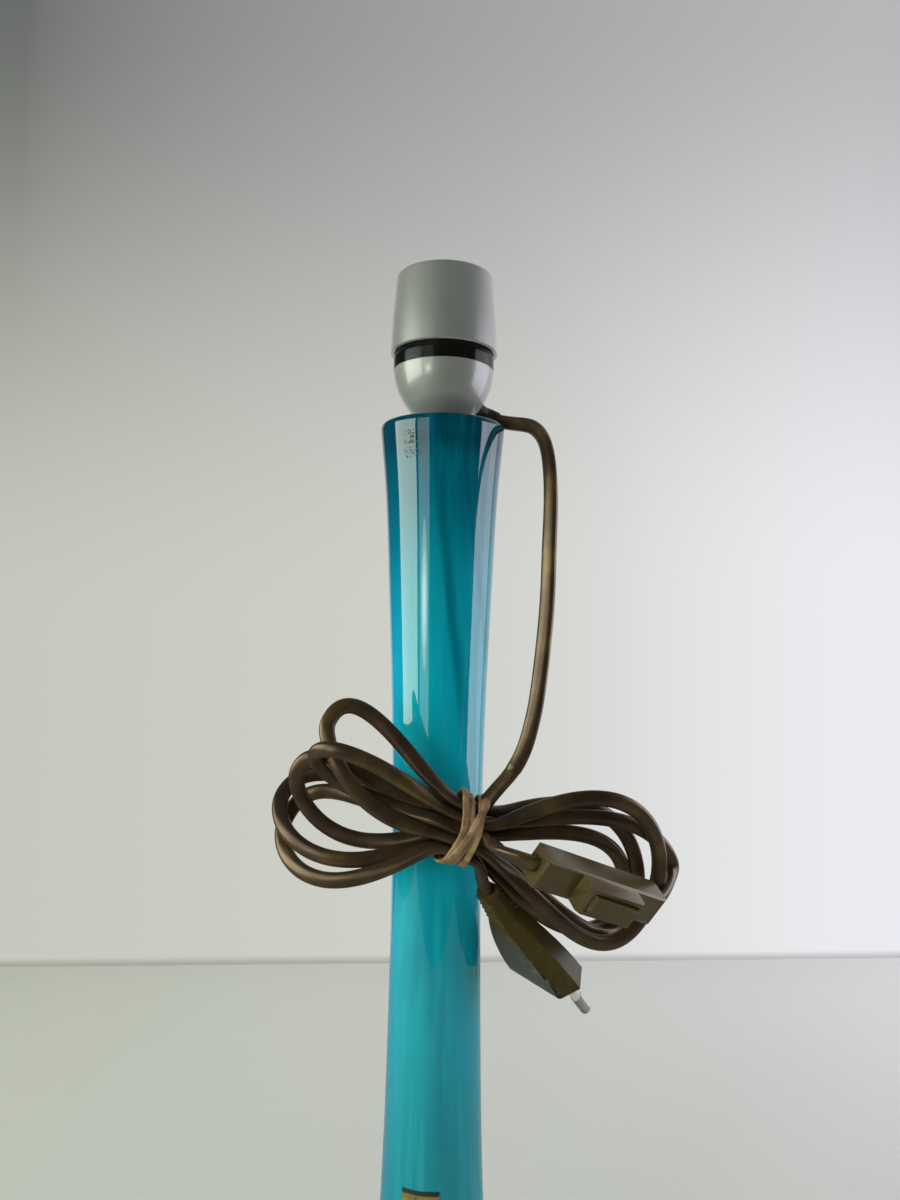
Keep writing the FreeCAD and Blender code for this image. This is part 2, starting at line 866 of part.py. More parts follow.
def waist_knot(number):
    """Middle of the waist in the slot that a loop comes back through."""
    up, out = slot_place(number + 1)
    return at_waist(0, up, out), waist_axes()[0] * -loops[number][0]


def switch_frame():
    return frame(switch_middle, switch_along, switch_down)


def switch_end(side, out):
    """Point on the switch's long axis, out beyond its end face."""
    return switch_middle + unit(switch_along) * side * (switch_length / 2 + out)


def plug_frame():
    return frame(plug_face, plug_across, plug_through)


def plug_way():
    return plug_frame().Rotation.multVec(Vec(0, 0, 1))


def lead_points():
    """Points of the free lead: through the gland, over the rim, then to the waist's first slot."""
    point, way = exit_frame()
    inside = point - way * lead_inside
    beyond = point + way * lead_first_run
    route = [inside, beyond] + [Vec(*place) for place in lead_route]
    route += [lead_end - unit(lead_end_way) * lead_last_run, lead_end]
    return route


def lamp_side_edges():
    """Cord of the hank from the lead to the switch."""
    across, upward, toward = waist_axes()
    way = unit(lead_end_way)
    up, out = slot_place(0)
    knots = [(lead_end, way), (lead_end + way * 2 * cord_radius, way),
             (at_waist(lead_entry[0], up + lead_entry[1], out),
              across * lead_entry_way[0] + upward * lead_entry_way[1]),
             (at_waist(lead_slot_start[0], up + lead_slot_start[1], out),
              across * lead_slot_way[0] + upward * lead_slot_way[1])]
    for number in range(lamp_side_loops):
        knots += loop_knots(number)
        knots.append(waist_knot(number))
    up, out = slot_place(lamp_side_loops)
    knots.append((at_waist(waist_half, up, out + switch_entry_rise),
                  across * switch_entry_way[0] + toward * switch_entry_way[1]))
    knots += switch_entry_route
    way = unit(switch_along)
    knots.append((switch_end(-1, 2 * cord_radius), way))
    knots.append((switch_end(-1, -switch_wall), way))
    return knot_edges(knots)


def plug_side_edges():
    """Cord of the hank from the switch to the plug."""
    across, upward, toward = waist_axes()
    way = unit(switch_along)
    knots = [(switch_end(1, -switch_wall), way), (switch_end(1, 2 * cord_radius), way)]
    knots.append((loop_point(lamp_side_loops, switch_loop_start), loop_way(lamp_side_loops, switch_loop_start)))
    knots += loop_knots(lamp_side_loops, start=switch_loop_start)
    for number in range(lamp_side_loops + 1, len(loops)):
        knots.append(waist_knot(number - 1))
        knots += loop_knots(number)
    knots.append(waist_knot(len(loops) - 1))
    up, out = slot_place(len(loops))
    turn = across * tail_turn[0] + upward * tail_turn[1] + toward * tail_turn[2]
    knots.append((at_waist(tail_start, up, out), turn))
    down = plug_way()
    relief_top = plug_face - down * (plug_length + plug_relief)
    knots.append((relief_top - down * 2 * cord_radius, down))
    knots.append((relief_top, down))
    return knot_edges(knots)


def make_cord_lead():
    edges, radii = route_edges(lead_points())
    print("   radii", " ".join("%.0f" % radius for radius in radii))
    return swept(edges, cord_radius)


def make_cord_hank_lamp_side():
    return swept(lamp_side_edges(), cord_radius)


def make_cord_hank_plug_side():
    return swept(plug_side_edges(), cord_radius)


def band_points():
    """Points of the rubber band's winding round the corner strands of the waist."""
    corner = cord_radius + band_gap + band_radius
    high = row_step * max(rows for rows, columns in slot_places)
    wide = column_step * max(abs(columns) for rows, columns in slot_places)
    quarter = math.sqrt(0.5) * corner
    lap = [(high + corner, 0.0), (high + quarter, wide + quarter), (0.0, wide + corner),
           (-high - quarter, wide + quarter), (-high - corner, 0.0), (-high - quarter, -wide - quarter),
           (0.0, -wide - corner), (high + quarter, -wide - quarter)]
    points = []
    width = band_turns * band_pitch
    for i in range(band_turns * len(lap) + 1):
        up, out = lap[i % len(lap)]
        along = width * (0.5 - i / (band_turns * len(lap)))
        points.append(at_waist(band_shift + along - band_slant * up, up, out))
    return points


def middle_ways(points):
    """The way through each point: that of the circle through it and its two neighbours."""
    ways = []
    for i, point in enumerate(points):
        before = point - points[max(i - 1, 0)]
        after = points[min(i + 1, len(points) - 1)] - point
        if before.Length == 0 or after.Length == 0:
            ways.append(unit(before + after))
        else:
            ways.append(unit(unit(before) * after.Length + unit(after) * before.Length))
    return ways


def band_edges():
    points = band_points()
    return knot_edges(list(zip(points, middle_ways(points))))


def make_rubber_band():
    return swept(band_edges(), band_radius)


# In-line switch, in its own frame: X along, Y down its rocker face, Z away from the rocker

def switch_shell_half(low, high):
    return box(switch_length, switch_width, high - low, Vec(0, 0, (low + high) / 2))


def bezel_span():
    start = -switch_length / 2 + bezel_start
    return start, start + bezel_length


def window_length():
    return bezel_length - 2 * bezel_wall - bezel_chamfer


def make_switch_cover():
    face = -switch_depth / 2
    body = switch_shell_half(face, switch_seam)
    body = body.makeChamfer(switch_edge, [edge for edge in body.Edges
                                          if abs(edge.BoundBox.ZMax - face) < 0.01])
    start, end = bezel_span()
    top = face - bezel_height
    half = bezel_width / 2
    outline = [Vec(start, -half, face + switch_wall), Vec(start, -half, top + bezel_chamfer),
               Vec(start + bezel_chamfer, -half, top), Vec(end - bezel_chamfer, -half, top),
               Vec(end, -half, top + bezel_chamfer), Vec(end, -half, face + switch_wall)]
    bezel = Part.Face(Part.Wire(chain(outline))).extrude(Vec(0, bezel_width, 0))
    body = body.fuse(bezel).removeSplitter()
    hollow = box(switch_length - 2 * switch_wall, switch_width - 2 * switch_wall,
                 switch_seam - face - switch_wall,
                 Vec(0, 0, (face + switch_wall + switch_seam) / 2))
    posts = [cylinder(case_post_radius, switch_seam - face - case_post_start,
                      Vec(side * case_screw_place, -case_screw_offset, face + case_post_start))
             for side in (-1, 1)]
    for post in posts:
        hollow = hollow.cut(post)
    body = body.cut(hollow)
    middle = (start + end) / 2
    window = box(window_length(), bezel_width - 2 * bezel_wall, 2 * (bezel_height + switch_wall),
                 Vec(middle, 0, top))
    body = body.cut(window)
    body = body.cut(cylinder(pin_radius + pin_clearance, bezel_width - 2 * (bezel_wall - pin_seat),
                             Vec(middle, -bezel_width / 2 + bezel_wall - pin_seat, top + pivot_depth),
                             Vec(0, 1, 0)))
    for side in (-1, 1):
        slot_middle = Vec(side * switch_length / 2, 0, 0)
        slot = cylinder(cord_radius + seat_clearance, switch_wall * 2,
                        slot_middle - Vec(switch_wall, 0, 0), Vec(1, 0, 0))
        mouth = box(switch_wall * 2, 2 * (cord_radius + seat_clearance), switch_seam * 2,
                    slot_middle + Vec(0, 0, switch_seam))
        body = body.cut(slot).cut(mouth)
        pilot = cylinder(case_screw_shank_radius + case_pilot_clearance, switch_seam - face - case_pilot_start,
                         Vec(side * case_screw_place, -case_screw_offset, face + case_pilot_start))
        body = body.cut(pilot)
    return body


def make_switch_base():
    back = switch_depth / 2
    body = switch_shell_half(switch_seam, back)
    body = body.makeChamfer(switch_edge, [edge for edge in body.Edges
                                          if abs(edge.BoundBox.ZMin - back) < 0.01])
    hollow = box(switch_length - 2 * switch_wall, switch_width - 2 * switch_wall,
                 back - switch_wall - switch_seam, Vec(0, 0, (switch_seam + back - switch_wall) / 2))
    for side in (-1, 1):
        post = cylinder(case_post_radius, back, Vec(side * case_screw_place, -case_screw_offset, 0))
        hollow = hollow.cut(post)
    body = body.cut(hollow)
    for side in (-1, 1):
        place = Vec(side * case_screw_place, -case_screw_offset, 0)
        body = body.cut(cylinder(case_screw_radius + thread_clearance, back, place))
        sink = Part.makeCone(case_screw_radius, case_screw_head + thread_clearance, switch_wall,
                             place + Vec(0, 0, back - switch_wall))
        body = body.cut(sink)
    return body


def rocker_middle():
    start, end = bezel_span()
    return Vec((start + end) / 2, 0, -switch_depth / 2 - bezel_height + pivot_depth)


def make_switch_rocker():
    pivot = rocker_middle()
    half_length = window_length() / 2 - rocker_clearance * 2
    keel = rocker_depth - pivot_depth
    half_width = bezel_width / 2 - bezel_wall - rocker_clearance
    top = -pivot_depth - rocker_proud
    outline = [Vec(-half_length, -half_width, 0), Vec(-half_length, -half_width, top + rocker_chamfer),
               Vec(-half_length + rocker_chamfer, -half_width, top),
               Vec(half_length - rocker_end_chamfer, -half_width, top),
               Vec(half_length, -half_width, top + rocker_end_chamfer),
               Vec(half_length, -half_width, 0),
               Vec(rocker_keel, -half_width, keel),
               Vec(-rocker_keel, -half_width, keel)]
    body = Part.Face(Part.Wire(chain(outline))).extrude(Vec(0, 2 * half_width, 0))
    body = body.cut(cylinder(pin_radius + pin_clearance, half_width * 2, Vec(0, -half_width, 0),
                             Vec(0, 1, 0)))
    body.rotate(Vec(0, 0, 0), Vec(0, 1, 0), rocker_tilt)
    body.translate(pivot)
    return body


def make_rocker_pin():
    pivot = rocker_middle()
    length = bezel_width - 2 * (bezel_wall - pin_seat) - 2 * pin_clearance
    return cylinder(pin_radius, length, pivot - Vec(0, length / 2, 0), Vec(0, 1, 0))


def make_rocker_plunger():
    start = rocker_depth - pivot_depth
    body = cylinder(plunger_radius, plunger_length, Vec(0, 0, start))
    tip = Part.makeSphere(plunger_radius, Vec(0, 0, start + plunger_length))
    body = body.fuse(tip).removeSplitter()
    body.rotate(Vec(0, 0, 0), Vec(0, 1, 0), rocker_tilt)
    body.translate(rocker_middle())
    return body


def bridge_top():
    """Depth of the bridge's middle, clear of the plunger's tip."""
    reach = rocker_depth - pivot_depth + plunger_length + plunger_radius
    return rocker_middle().z + reach + bridge_gap


def make_contact_bridge():
    middle = rocker_middle()
    body = box(bridge_length, bridge_width, bridge_thickness, Vec(0, 0, bridge_thickness / 2))
    body.rotate(Vec(0, 0, 0), Vec(0, 1, 0), -rocker_tilt * bridge_tilt_share)
    body.translate(Vec(middle.x, 0, bridge_top()))
    return body


def make_bridge_post():
    middle = rocker_middle()
    low = bridge_top() + bridge_thickness + bridge_seat
    back = switch_depth / 2 - switch_wall
    shoulder = low + post_slope
    outline = [Vec(0, 0, low), Vec(post_width / 2, 0, shoulder), Vec(post_width / 2, 0, back),
               Vec(-post_width / 2, 0, back), Vec(-post_width / 2, 0, shoulder)]
    body = Part.Face(Part.Wire(chain(outline))).extrude(Vec(0, bridge_width, 0))
    body.translate(Vec(middle.x, -bridge_width / 2, 0))
    return body


def make_switch_terminals():
    """Each terminal: a clamp block on the base and a finger with a stud under the bridge."""
    terminals = []
    middle = rocker_middle()
    floor = switch_depth / 2 - switch_wall
    drop = bridge_length / 2 * math.sin(math.radians(rocker_tilt * bridge_tilt_share))
    stud_top = bridge_top() + bridge_thickness + drop + stud_gap
    for side in (-1, 1):
        place = Vec(side * switch_terminal_place, 0, floor - switch_terminal_height / 2)
        block = box(switch_terminal_length, switch_terminal_width, switch_terminal_height, place)
        stud_place = middle.x + side * (bridge_length / 2 - stud_radius)
        inner = min(side * stud_place, switch_terminal_place) - stud_radius
        finger = box(switch_terminal_place - inner, bridge_width, finger_thickness,
                     Vec(side * (switch_terminal_place + inner) / 2, 0, floor - finger_thickness / 2))
        stud = cylinder(stud_radius, floor - stud_top, Vec(stud_place, 0, stud_top))
        bore = cylinder(wire_radius + wire_clearance, switch_terminal_length,
                        place - Vec(switch_terminal_length / 2, clamp_offset, 0), Vec(1, 0, 0))
        screw = cylinder(clamp_screw_radius + thread_clearance, switch_terminal_height / 2,
                         place - Vec(0, clamp_offset, switch_terminal_height / 2))
        body = block.fuse(finger).fuse(stud).removeSplitter()
        terminals.append(body.cut(bore).cut(screw))
    return group(terminals)


def make_switch_terminal_screws():
    screws = []
    floor = switch_depth / 2 - switch_wall
    for side in (-1, 1):
        top = Vec(side * switch_terminal_place, -clamp_offset, floor - switch_terminal_height)
        head_top = top - Vec(0, 0, clamp_screw_head_height)
        head = cylinder(clamp_screw_head_radius, clamp_screw_head_height, head_top)
        slot = box(clamp_screw_head_radius * 2, clamp_slot_width, clamp_slot_depth * 2, head_top)
        shank_length = switch_terminal_height / 2 - wire_radius - wire_clearance - clamp_tip_gap
        shank = cylinder(clamp_screw_radius, shank_length, top)
        screws.append(head.cut(slot).fuse(shank).removeSplitter())
    return group(screws)


def make_switch_wires():
    """The switched core's two ends, and the other core straight through beside the terminals."""
    floor = switch_depth / 2 - switch_wall
    level = floor - switch_terminal_height / 2
    end = switch_length / 2 - switch_wall
    straight = end - core_straight
    turn = straight - core_turn
    routes = []
    for side in (-1, 1):
        routes.append([Vec(side * end, -core_offset, 0), Vec(side * straight, -core_offset, 0),
                       Vec(side * turn, -clamp_offset, level), Vec(side * switch_terminal_place, -clamp_offset, level)])
    lane = switch_width / 2 - switch_wall - wire_radius - wire_clearance
    routes.append([Vec(-end, core_offset, 0), Vec(-straight, core_offset, 0), Vec(-turn, lane, 0),
                   Vec(turn, lane, 0), Vec(straight, core_offset, 0), Vec(end, core_offset, 0)])
    return group([swept(route_edges(route)[0], core_radius) for route in routes])


def make_switch_case_screws():
    back = switch_depth / 2
    screws = []
    for side in (-1, 1):
        place = Vec(side * case_screw_place, -case_screw_offset, 0)
        head = Part.makeCone(case_screw_radius, case_screw_head, switch_wall - thread_clearance,
                             place + Vec(0, 0, back - switch_wall))
        slot = box(case_screw_head * 2, case_slot_width, case_slot_depth * 2,
                   place + Vec(0, 0, back - thread_clearance))
        shank_low = -case_screw_tip
        shank = cylinder(case_screw_shank_radius, back - switch_wall - shank_low,
                         place + Vec(0, 0, shank_low))
        screws.append(head.cut(slot).fuse(shank).removeSplitter())
    return group(screws)


# Plug, in its own frame: X across, Y through its thickness, Z out along the pins

def hexagon_wire(width, flat, thickness, height):
    half = thickness / 2
    corners = [Vec(width / 2, 0, height), Vec(flat / 2, half, height), Vec(-flat / 2, half, height),
               Vec(-width / 2, 0, height), Vec(-flat / 2, -half, height), Vec(flat / 2, -half, height)]
    return Part.Wire(chain(corners))


def plug_wire(share):
    """Outline of the plug's body at a share of its length, 0 at its neck and 1 at its pin face."""
    swell = 1 - (1 - share) ** plug_swell_power
    return hexagon_wire(plug_neck_width + (plug_width - plug_neck_width) * swell,
                        plug_neck_flat + (plug_flat - plug_neck_flat) * swell,
                        plug_neck_thickness + (plug_thickness - plug_neck_thickness) * swell,
                        -plug_length * (1 - share))


def make_plug_relief():
    """Taper from the plug's neck to the cord, with saw-tooth ribs on its two wide faces and an oval lip."""
    cord_end = -plug_length - plug_relief
    taper = Part.makeLoft([plug_wire(0), hexagon_wire(relief_width, relief_flat, relief_thickness, cord_end)],
                          True, True)
    pitch = (plug_relief - relief_lip_thickness) / relief_ribs
    for i in range(relief_ribs):
        top = -plug_length - pitch * i
        low = top - pitch * relief_rib_share
        narrowing = (-plug_length - low) / plug_relief
        half = (plug_neck_thickness + (relief_thickness - plug_neck_thickness) * narrowing) / 2
        for side in (-1, 1):
            outline = [Vec(0, side * plug_neck_thickness, top), Vec(0, side * plug_neck_thickness, low),
                       Vec(0, side * (half - relief_rib_depth), low), Vec(0, side * half, top)]
            groove = Part.Face(Part.Wire(chain(outline))).extrude(Vec(plug_neck_width, 0, 0))
            groove.translate(Vec(-plug_neck_width / 2, 0, 0))
            taper = taper.cut(groove)
    oval = Part.Ellipse(Vec(0, 0, cord_end), relief_lip_width / 2, relief_lip_depth / 2)
    lip = Part.Face(Part.Wire([oval.toShape()])).extrude(Vec(0, 0, relief_lip_thickness))
    return taper.fuse(lip)


def make_plug_body():
    sections = [plug_wire(step / plug_swell_steps) for step in range(plug_swell_steps + 1)]
    body = Part.makeLoft(sections, True, True).fuse(make_plug_relief())
    for side in (-1, 1):
        body = body.cut(cylinder(pin_core_radius + thread_clearance, plug_pin_seat,
                                 Vec(side * plug_pin_spacing / 2, 0, -plug_pin_seat)))
    return body.removeSplitter()


def make_plug_pins():
    pins = []
    for side in (-1, 1):
        place = Vec(side * plug_pin_spacing / 2, 0, 0)
        core = cylinder(pin_core_radius, plug_pin_seat + pin_sleeve_length, place - Vec(0, 0, plug_pin_seat))
        tip = cylinder(plug_pin_radius, plug_pin_length - pin_sleeve_length, place + Vec(0, 0, pin_sleeve_length))
        tip_edges = [edge for edge in tip.Edges if edge.BoundBox.ZMin > plug_pin_length - 0.01]
        tip = tip.makeFillet(pin_tip_round, tip_edges)
        pins.append(core.fuse(tip).removeSplitter())
    return group(pins)


def make_plug_pin_sleeves():
    sleeves = []
    for side in (-1, 1):
        place = Vec(side * plug_pin_spacing / 2, 0, 0)
        sleeves.append(tube_ring(pin_sleeve_radius, pin_core_radius + pin_sleeve_clearance, pin_sleeve_length, place))
    return group(sleeves)


# Cores inside the dome

def make_holder_wires():
    point, way = exit_frame()
    start = point - way * lead_inside
    sideways = unit(way.cross(Vec(0, 0, 1)))
    level = block_bottom - terminal_height / 2 - terminal_bore_drop
    wires = []
    for side in (-1, 1):
        first = start - sideways * side * (wire_radius + wire_gap / 2)
        second = first - way * wire_straight
        third = Vec(side * wire_turn[0], terminal_size / 2 + wire_turn[1], level - wire_turn[2])
        fourth = Vec(side * terminal_offset, terminal_size / 2 + wire_entry, level)
        last = Vec(side * terminal_offset, 0, level)
        points = [first, second, third, fourth, last]
        wires.append(swept(route_edges(points)[0], wire_radius))
    return group(wires)


in_switch = [("switch_cover", make_switch_cover), ("switch_base", make_switch_base),
             ("switch_rocker", make_switch_rocker), ("rocker_pin", make_rocker_pin),
             ("rocker_plunger", make_rocker_plunger), ("contact_bridge", make_contact_bridge),
             ("bridge_post", make_bridge_post), ("switch_terminals", make_switch_terminals),
             ("switch_terminal_screws", make_switch_terminal_screws), ("switch_wires", make_switch_wires),
             ("switch_case_screws", make_switch_case_screws)]
in_plug = [("plug_body", make_plug_body), ("plug_pins", make_plug_pins),
           ("plug_pin_sleeves", make_plug_pin_sleeves)]
on_lamp = [("base_pad", make_base_pad), ("glass_body", make_glass_body), ("foil_label", make_foil_label),
           ("mouth_bung", make_mouth_bung), ("bung_washer", make_bung_washer),
           ("threaded_nipple", make_threaded_nipple), ("nipple_nuts", make_nipple_nuts),
           ("holder_dome", make_holder_dome), ("cord_gland", make_cord_gland),
           ("holder_collar", make_holder_collar), ("contact_block", make_contact_block),
           ("screw_shell", make_screw_shell), ("shell_rivets", make_shell_rivets),
           ("centre_contact", make_centre_contact), ("centre_strap", make_centre_strap),
           ("side_contact", make_side_contact),
           ("holder_terminals", make_holder_terminals),
           ("holder_terminal_screws", make_holder_terminal_screws), ("holder_wires", make_holder_wires),
           ("holder_sleeve", make_holder_sleeve), ("cord_lead", make_cord_lead),
           ("cord_hank_lamp_side", make_cord_hank_lamp_side),
           ("cord_hank_plug_side", make_cord_hank_plug_side), ("rubber_band", make_rubber_band)]


def report_gaps():
    """Least gaps of the wound tubes, measured on points."""
    lamp_side = sample(lamp_side_edges())
    plug_side = sample(plug_side_edges())
    band = sample(band_edges())
    for name, points, radius in (("lamp side", lamp_side, cord_radius), ("plug side", plug_side, cord_radius),
                                 ("band", band, band_radius)):
        gap, pair = self_gap(points, radius)
        print("least gap of the %s to itself %.2f near %s" % (name, gap, pair[0]))
    gap, pair = between_gap(lamp_side, plug_side, 2 * cord_radius)
    print("least gap between the two sides %.2f near %s" % (gap, pair[0]))
    gap, pair = between_gap(lamp_side + plug_side, band, cord_radius + band_radius)
    print("least gap between the hank and the band %.2f near %s" % (gap, pair[0]))


def save(name, shape):
    volume = sum(solid.Volume for solid in shape.Solids)
    print("%-24s %2d solids %10.0f mm3 %s" % (name, len(shape.Solids), volume,
                                             "valid" if shape.isValid() else "NOT VALID"))
    shape.exportStep("parts/%s.step" % name)


def main():
    os.makedirs("parts", exist_ok=True)
    report_gaps()
    for name, maker in on_lamp:
        save(name, maker())
    for name, maker in in_switch:
        save(name, placed(maker(), switch_frame()))
    for name, maker in in_plug:
        save(name, placed(maker(), plug_frame()))


main()
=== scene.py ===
import json
import math

import bmesh
import bpy
from mathutils import Matrix, Vector


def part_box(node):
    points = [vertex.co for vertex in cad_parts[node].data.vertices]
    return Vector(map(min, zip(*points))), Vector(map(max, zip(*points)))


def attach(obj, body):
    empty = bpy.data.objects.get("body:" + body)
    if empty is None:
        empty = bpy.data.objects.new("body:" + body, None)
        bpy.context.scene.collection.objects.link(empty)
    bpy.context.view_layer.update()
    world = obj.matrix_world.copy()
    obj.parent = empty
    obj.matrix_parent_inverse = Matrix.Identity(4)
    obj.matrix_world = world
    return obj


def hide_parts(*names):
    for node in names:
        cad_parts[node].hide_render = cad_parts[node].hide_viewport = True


# A glass table lamp with a banded hank of flat cord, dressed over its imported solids, in metres

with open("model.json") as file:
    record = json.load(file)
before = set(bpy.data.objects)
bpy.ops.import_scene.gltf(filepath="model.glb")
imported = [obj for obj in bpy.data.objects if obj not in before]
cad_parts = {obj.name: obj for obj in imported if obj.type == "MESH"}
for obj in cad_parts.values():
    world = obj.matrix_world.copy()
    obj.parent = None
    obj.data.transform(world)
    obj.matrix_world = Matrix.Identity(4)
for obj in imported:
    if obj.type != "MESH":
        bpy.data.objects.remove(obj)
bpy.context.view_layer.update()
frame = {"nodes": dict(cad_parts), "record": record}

# Glass
rim_height = 0.380
glass_bottom = 0.0015
glass_wall = 0.004
glass_floor = 0.016
foot_radius = 0.050
# Inset and drop of the points that round its rim outside and inside, and how far each rounding reaches
rim_edge = [(0.0016, 0.0), (0.0008, 0.0002), (0.0003, 0.0008)]
rim_rounding = 0.0017
lip_edge = [(0.0, 0.0007), (0.0002, 0.0002), (0.0008, 0.0)]
lip_rounding = 0.0010
# Radius and height of its outside, from the rim down to the foot
glass_side = [(0.0234, rim_height), (0.0211, 0.356), (0.0193, 0.322), (0.0174, 0.278), (0.0164, 0.1985),
              (0.0170, 0.1495), (0.0185, 0.0995), (0.0240, 0.0535), (0.0360, 0.0255), (0.0475, 0.0125)]

# Holder
dome_bottom = 0.383
dome_height = 0.0183
dome_radius = 0.01895
dome_flat_radius = 0.0098
dome_curve_radius = 0.0268
dome_wall = 0.0022
dome_hole = 0.0051
dome_foot_inset = 0.0006
dome_foot_rise = 0.0004
lip_height = 0.4078
# Radius, and height over the lip
sleeve_side = [(0.0202, 0.0), (0.0200, 0.0055), (0.0196, 0.0135), (0.0191, 0.0205), (0.0184, 0.0284)]
sleeve_corner = 0.0009
corner_angles = (0.3, 0.6, 0.9, 1.2)
sleeve_height = 0.0296
sleeve_wall = 0.0012
sleeve_mouth = 0.015
sleeve_lip_inside = 0.0186
sleeve_lip_depth = 0.0012
sleeve_lip_clear = 0.0020
sleeve_top_inset = 0.0004
mouth_edge = 0.0003
sharp_edge = 0.0002

# Cord
cord_width = 0.0054
cord_thickness = 0.0034
gland_point = Vector((0.011981, 0.010053, 0.3902))
gland_way = Vector((0.736369, 0.617887, -0.275637))
lead_inside = 0.0055
relief_length = 0.010
relief_width = 0.0084
relief_depth = 0.0070
relief_end_play = 0.0005
lead_first_run = 0.005
lead_route = [(0.0200, 0.0116, 0.3862), (0.0240, 0.0072, 0.3842), (0.0276, 0.0028, 0.3826),
              (0.0308, -0.0008, 0.3814), (0.0338, -0.0046, 0.3796), (0.0362, -0.0100, 0.3754),
              (0.0376, -0.0154, 0.3696), (0.0383, -0.0200, 0.3610), (0.0385, -0.0228, 0.3490),
              (0.0377, -0.0250, 0.3320), (0.0372, -0.0262, 0.3140), (0.0356, -0.0269, 0.2960),
              (0.0336, -0.0272, 0.2790), (0.0317, -0.0274, 0.2704), (0.0299, -0.0275, 0.2640),
              (0.0275, -0.0277, 0.2586), (0.0244, -0.0280, 0.2541), (0.0209, -0.0284, 0.2503),
              (0.0177, -0.0288, 0.2466)]

# Hank: its waist, the slots of the strands there and the loops in winding order
waist_point = Vector((0.010, -0.0265, 0.2358))
waist_tilt = math.radians(20)
waist_half = 0.008
row_step = 0.0051
column_step = 0.0028
# How far the band draws the rows together, and the length over which they part again
waist_squeeze = 0.79
waist_spread = 0.030
# row, column
slots = [(2, 1), (-1, 1), (1, 1), (0, 1), (1, -1), (-1, -1), (2, -1), (-2, -1.25), (0, -1), (-2, 1)]
# side, reach, lean, bend, upper and lower breadth, depth, twist
loops = [(-1, 0.0485, -0.11, 0.41, 0.0115, 0.0035, -0.0010, -0.0035),
         (1, 0.063, 0.56, -0.54, 0.0160, 0.0270, -0.0165, -0.0010),
         (-1, 0.048, 0.06, 0.02, 0.0050, 0.0050, 0.0045, 0.0070),
         (1, 0.076, -0.06, -0.10, 0.0230, 0.0215, -0.0270, -0.0010),
         (-1, 0.053, -0.64, 0.58, 0.0115, 0.0060, -0.0015, 0.0025),
         (1, 0.061, 0.17, -0.37, 0.0160, 0.0140, -0.0205, 0.0020),
         (-1, 0.056, -0.65, 0.39, 0.0090, 0.0060, -0.0110, -0.0075),
         (1, 0.056, 0.0, -0.07, 0.0155, 0.0120, -0.0215, 0.0),
         (-1, 0.052, -0.86, 0.52, 0.0145, 0.0080, -0.0160, -0.0050)]
lamp_side_loops = 3
switch_loop_start = 0.62
points_per_loop = 16
# Where along the waist the lead comes in and the strand to the plug goes out
lead_enters_at = 0.0022
plug_strand_leaves_at = 0.0082
# At the waist the cord's wide side turns up by an angle, which fades out between two distances from it.
# It turns square to the switch and the plug between two lengths of cord from them.
waist_turn = math.radians(76)
waist_turn_fade = (0.006, 0.034)
switch_turn_fade = (0.022, 0.050)
plug_turn_fade = (0.003, 0.016)

# Switch and plug on the cord
switch_middle = Vector((0.0527, -0.0340, 0.2199))
switch_along = Vector((0.818, 0.46, -0.345)).normalized()
switch_down = Vector((-0.503, 0.282, -0.817))
switch_length = 0.051
switch_wall = 0.0013
switch_strand_out = 0.0018
switch_strand_bend = Vector((0.0212, -0.0430, 0.2318))
plug_face = Vector((0.0403, -0.0018, 0.1814))
plug_across = Vector((0.606, -0.786, -0.12)).normalized()
plug_through = Vector((-0.627, -0.38, -0.681))
plug_length = 0.034
plug_relief = 0.0124
straight_run = 0.004
plug_overlap = 0.001
plug_way = plug_across.cross(plug_through).normalized()
plug_inward = plug_through.normalized()
switch_outward = -switch_along.cross(switch_down).normalized()

# Widths of rounded edges, and the least angle of one in degrees
case_edge = 0.00035
rocker_edge = 0.0003
plug_edge = 0.0002
plug_corner = 0.0012
edge_angle = 28
# The edges of an end are longer than this, and this near to its plane
long_edge = 0.003
end_reach = 0.0003

# The plug's broad face, painted darker as shade, begins between two depths from its middle, and its
# scuffs end between two heights
broad_face_depths = (0.0050, 0.0064)
scuff_heights = (0.184, 0.204)

# Rubber band: half its size round the waist, its strip, and how square and twisted its laps are
band_half_height = 0.0112
band_half_depth = 0.0070
band_width = 0.0023
band_thickness = 0.0012
band_edge = 0.0004
band_squareness = 0.75
band_upward_share = 0.45
band_twist = 0.3
band_twist_rate = 0.21
# Each lap's place along the waist at the top, down the front in quarters and at the bottom, and how far
# it stands off the laps under it
band_laps = [((-0.0052, -0.0036, -0.0010, -0.0026, -0.0040), 0.0011),
             ((-0.0030, -0.0012, 0.0010, 0.0008, 0.0), 0.0),
             ((0.0008, 0.0022, 0.0040, 0.0032, 0.0022), 0.0004),
             ((0.0022, 0.0030, 0.0024, -0.0004, -0.0020), 0.0008),
             ((0.0030, 0.0032, 0.0012, -0.0020, -0.0056), 0.0015)]

# The waist's own ways
across = Vector((math.cos(waist_tilt), 0, -math.sin(waist_tilt)))
upward = Vector((math.sin(waist_tilt), 0, math.cos(waist_tilt)))
toward = Vector((0, -1, 0))


# Shader maths

def colour(red, green, blue):
    """Linear colour of an 8-bit display colour."""
    linear = [(c / 255 / 12.92) if c <= 10 else ((c / 255 + 0.055) / 1.055) ** 2.4
              for c in (red, green, blue)]
    return (*linear, 1.0)


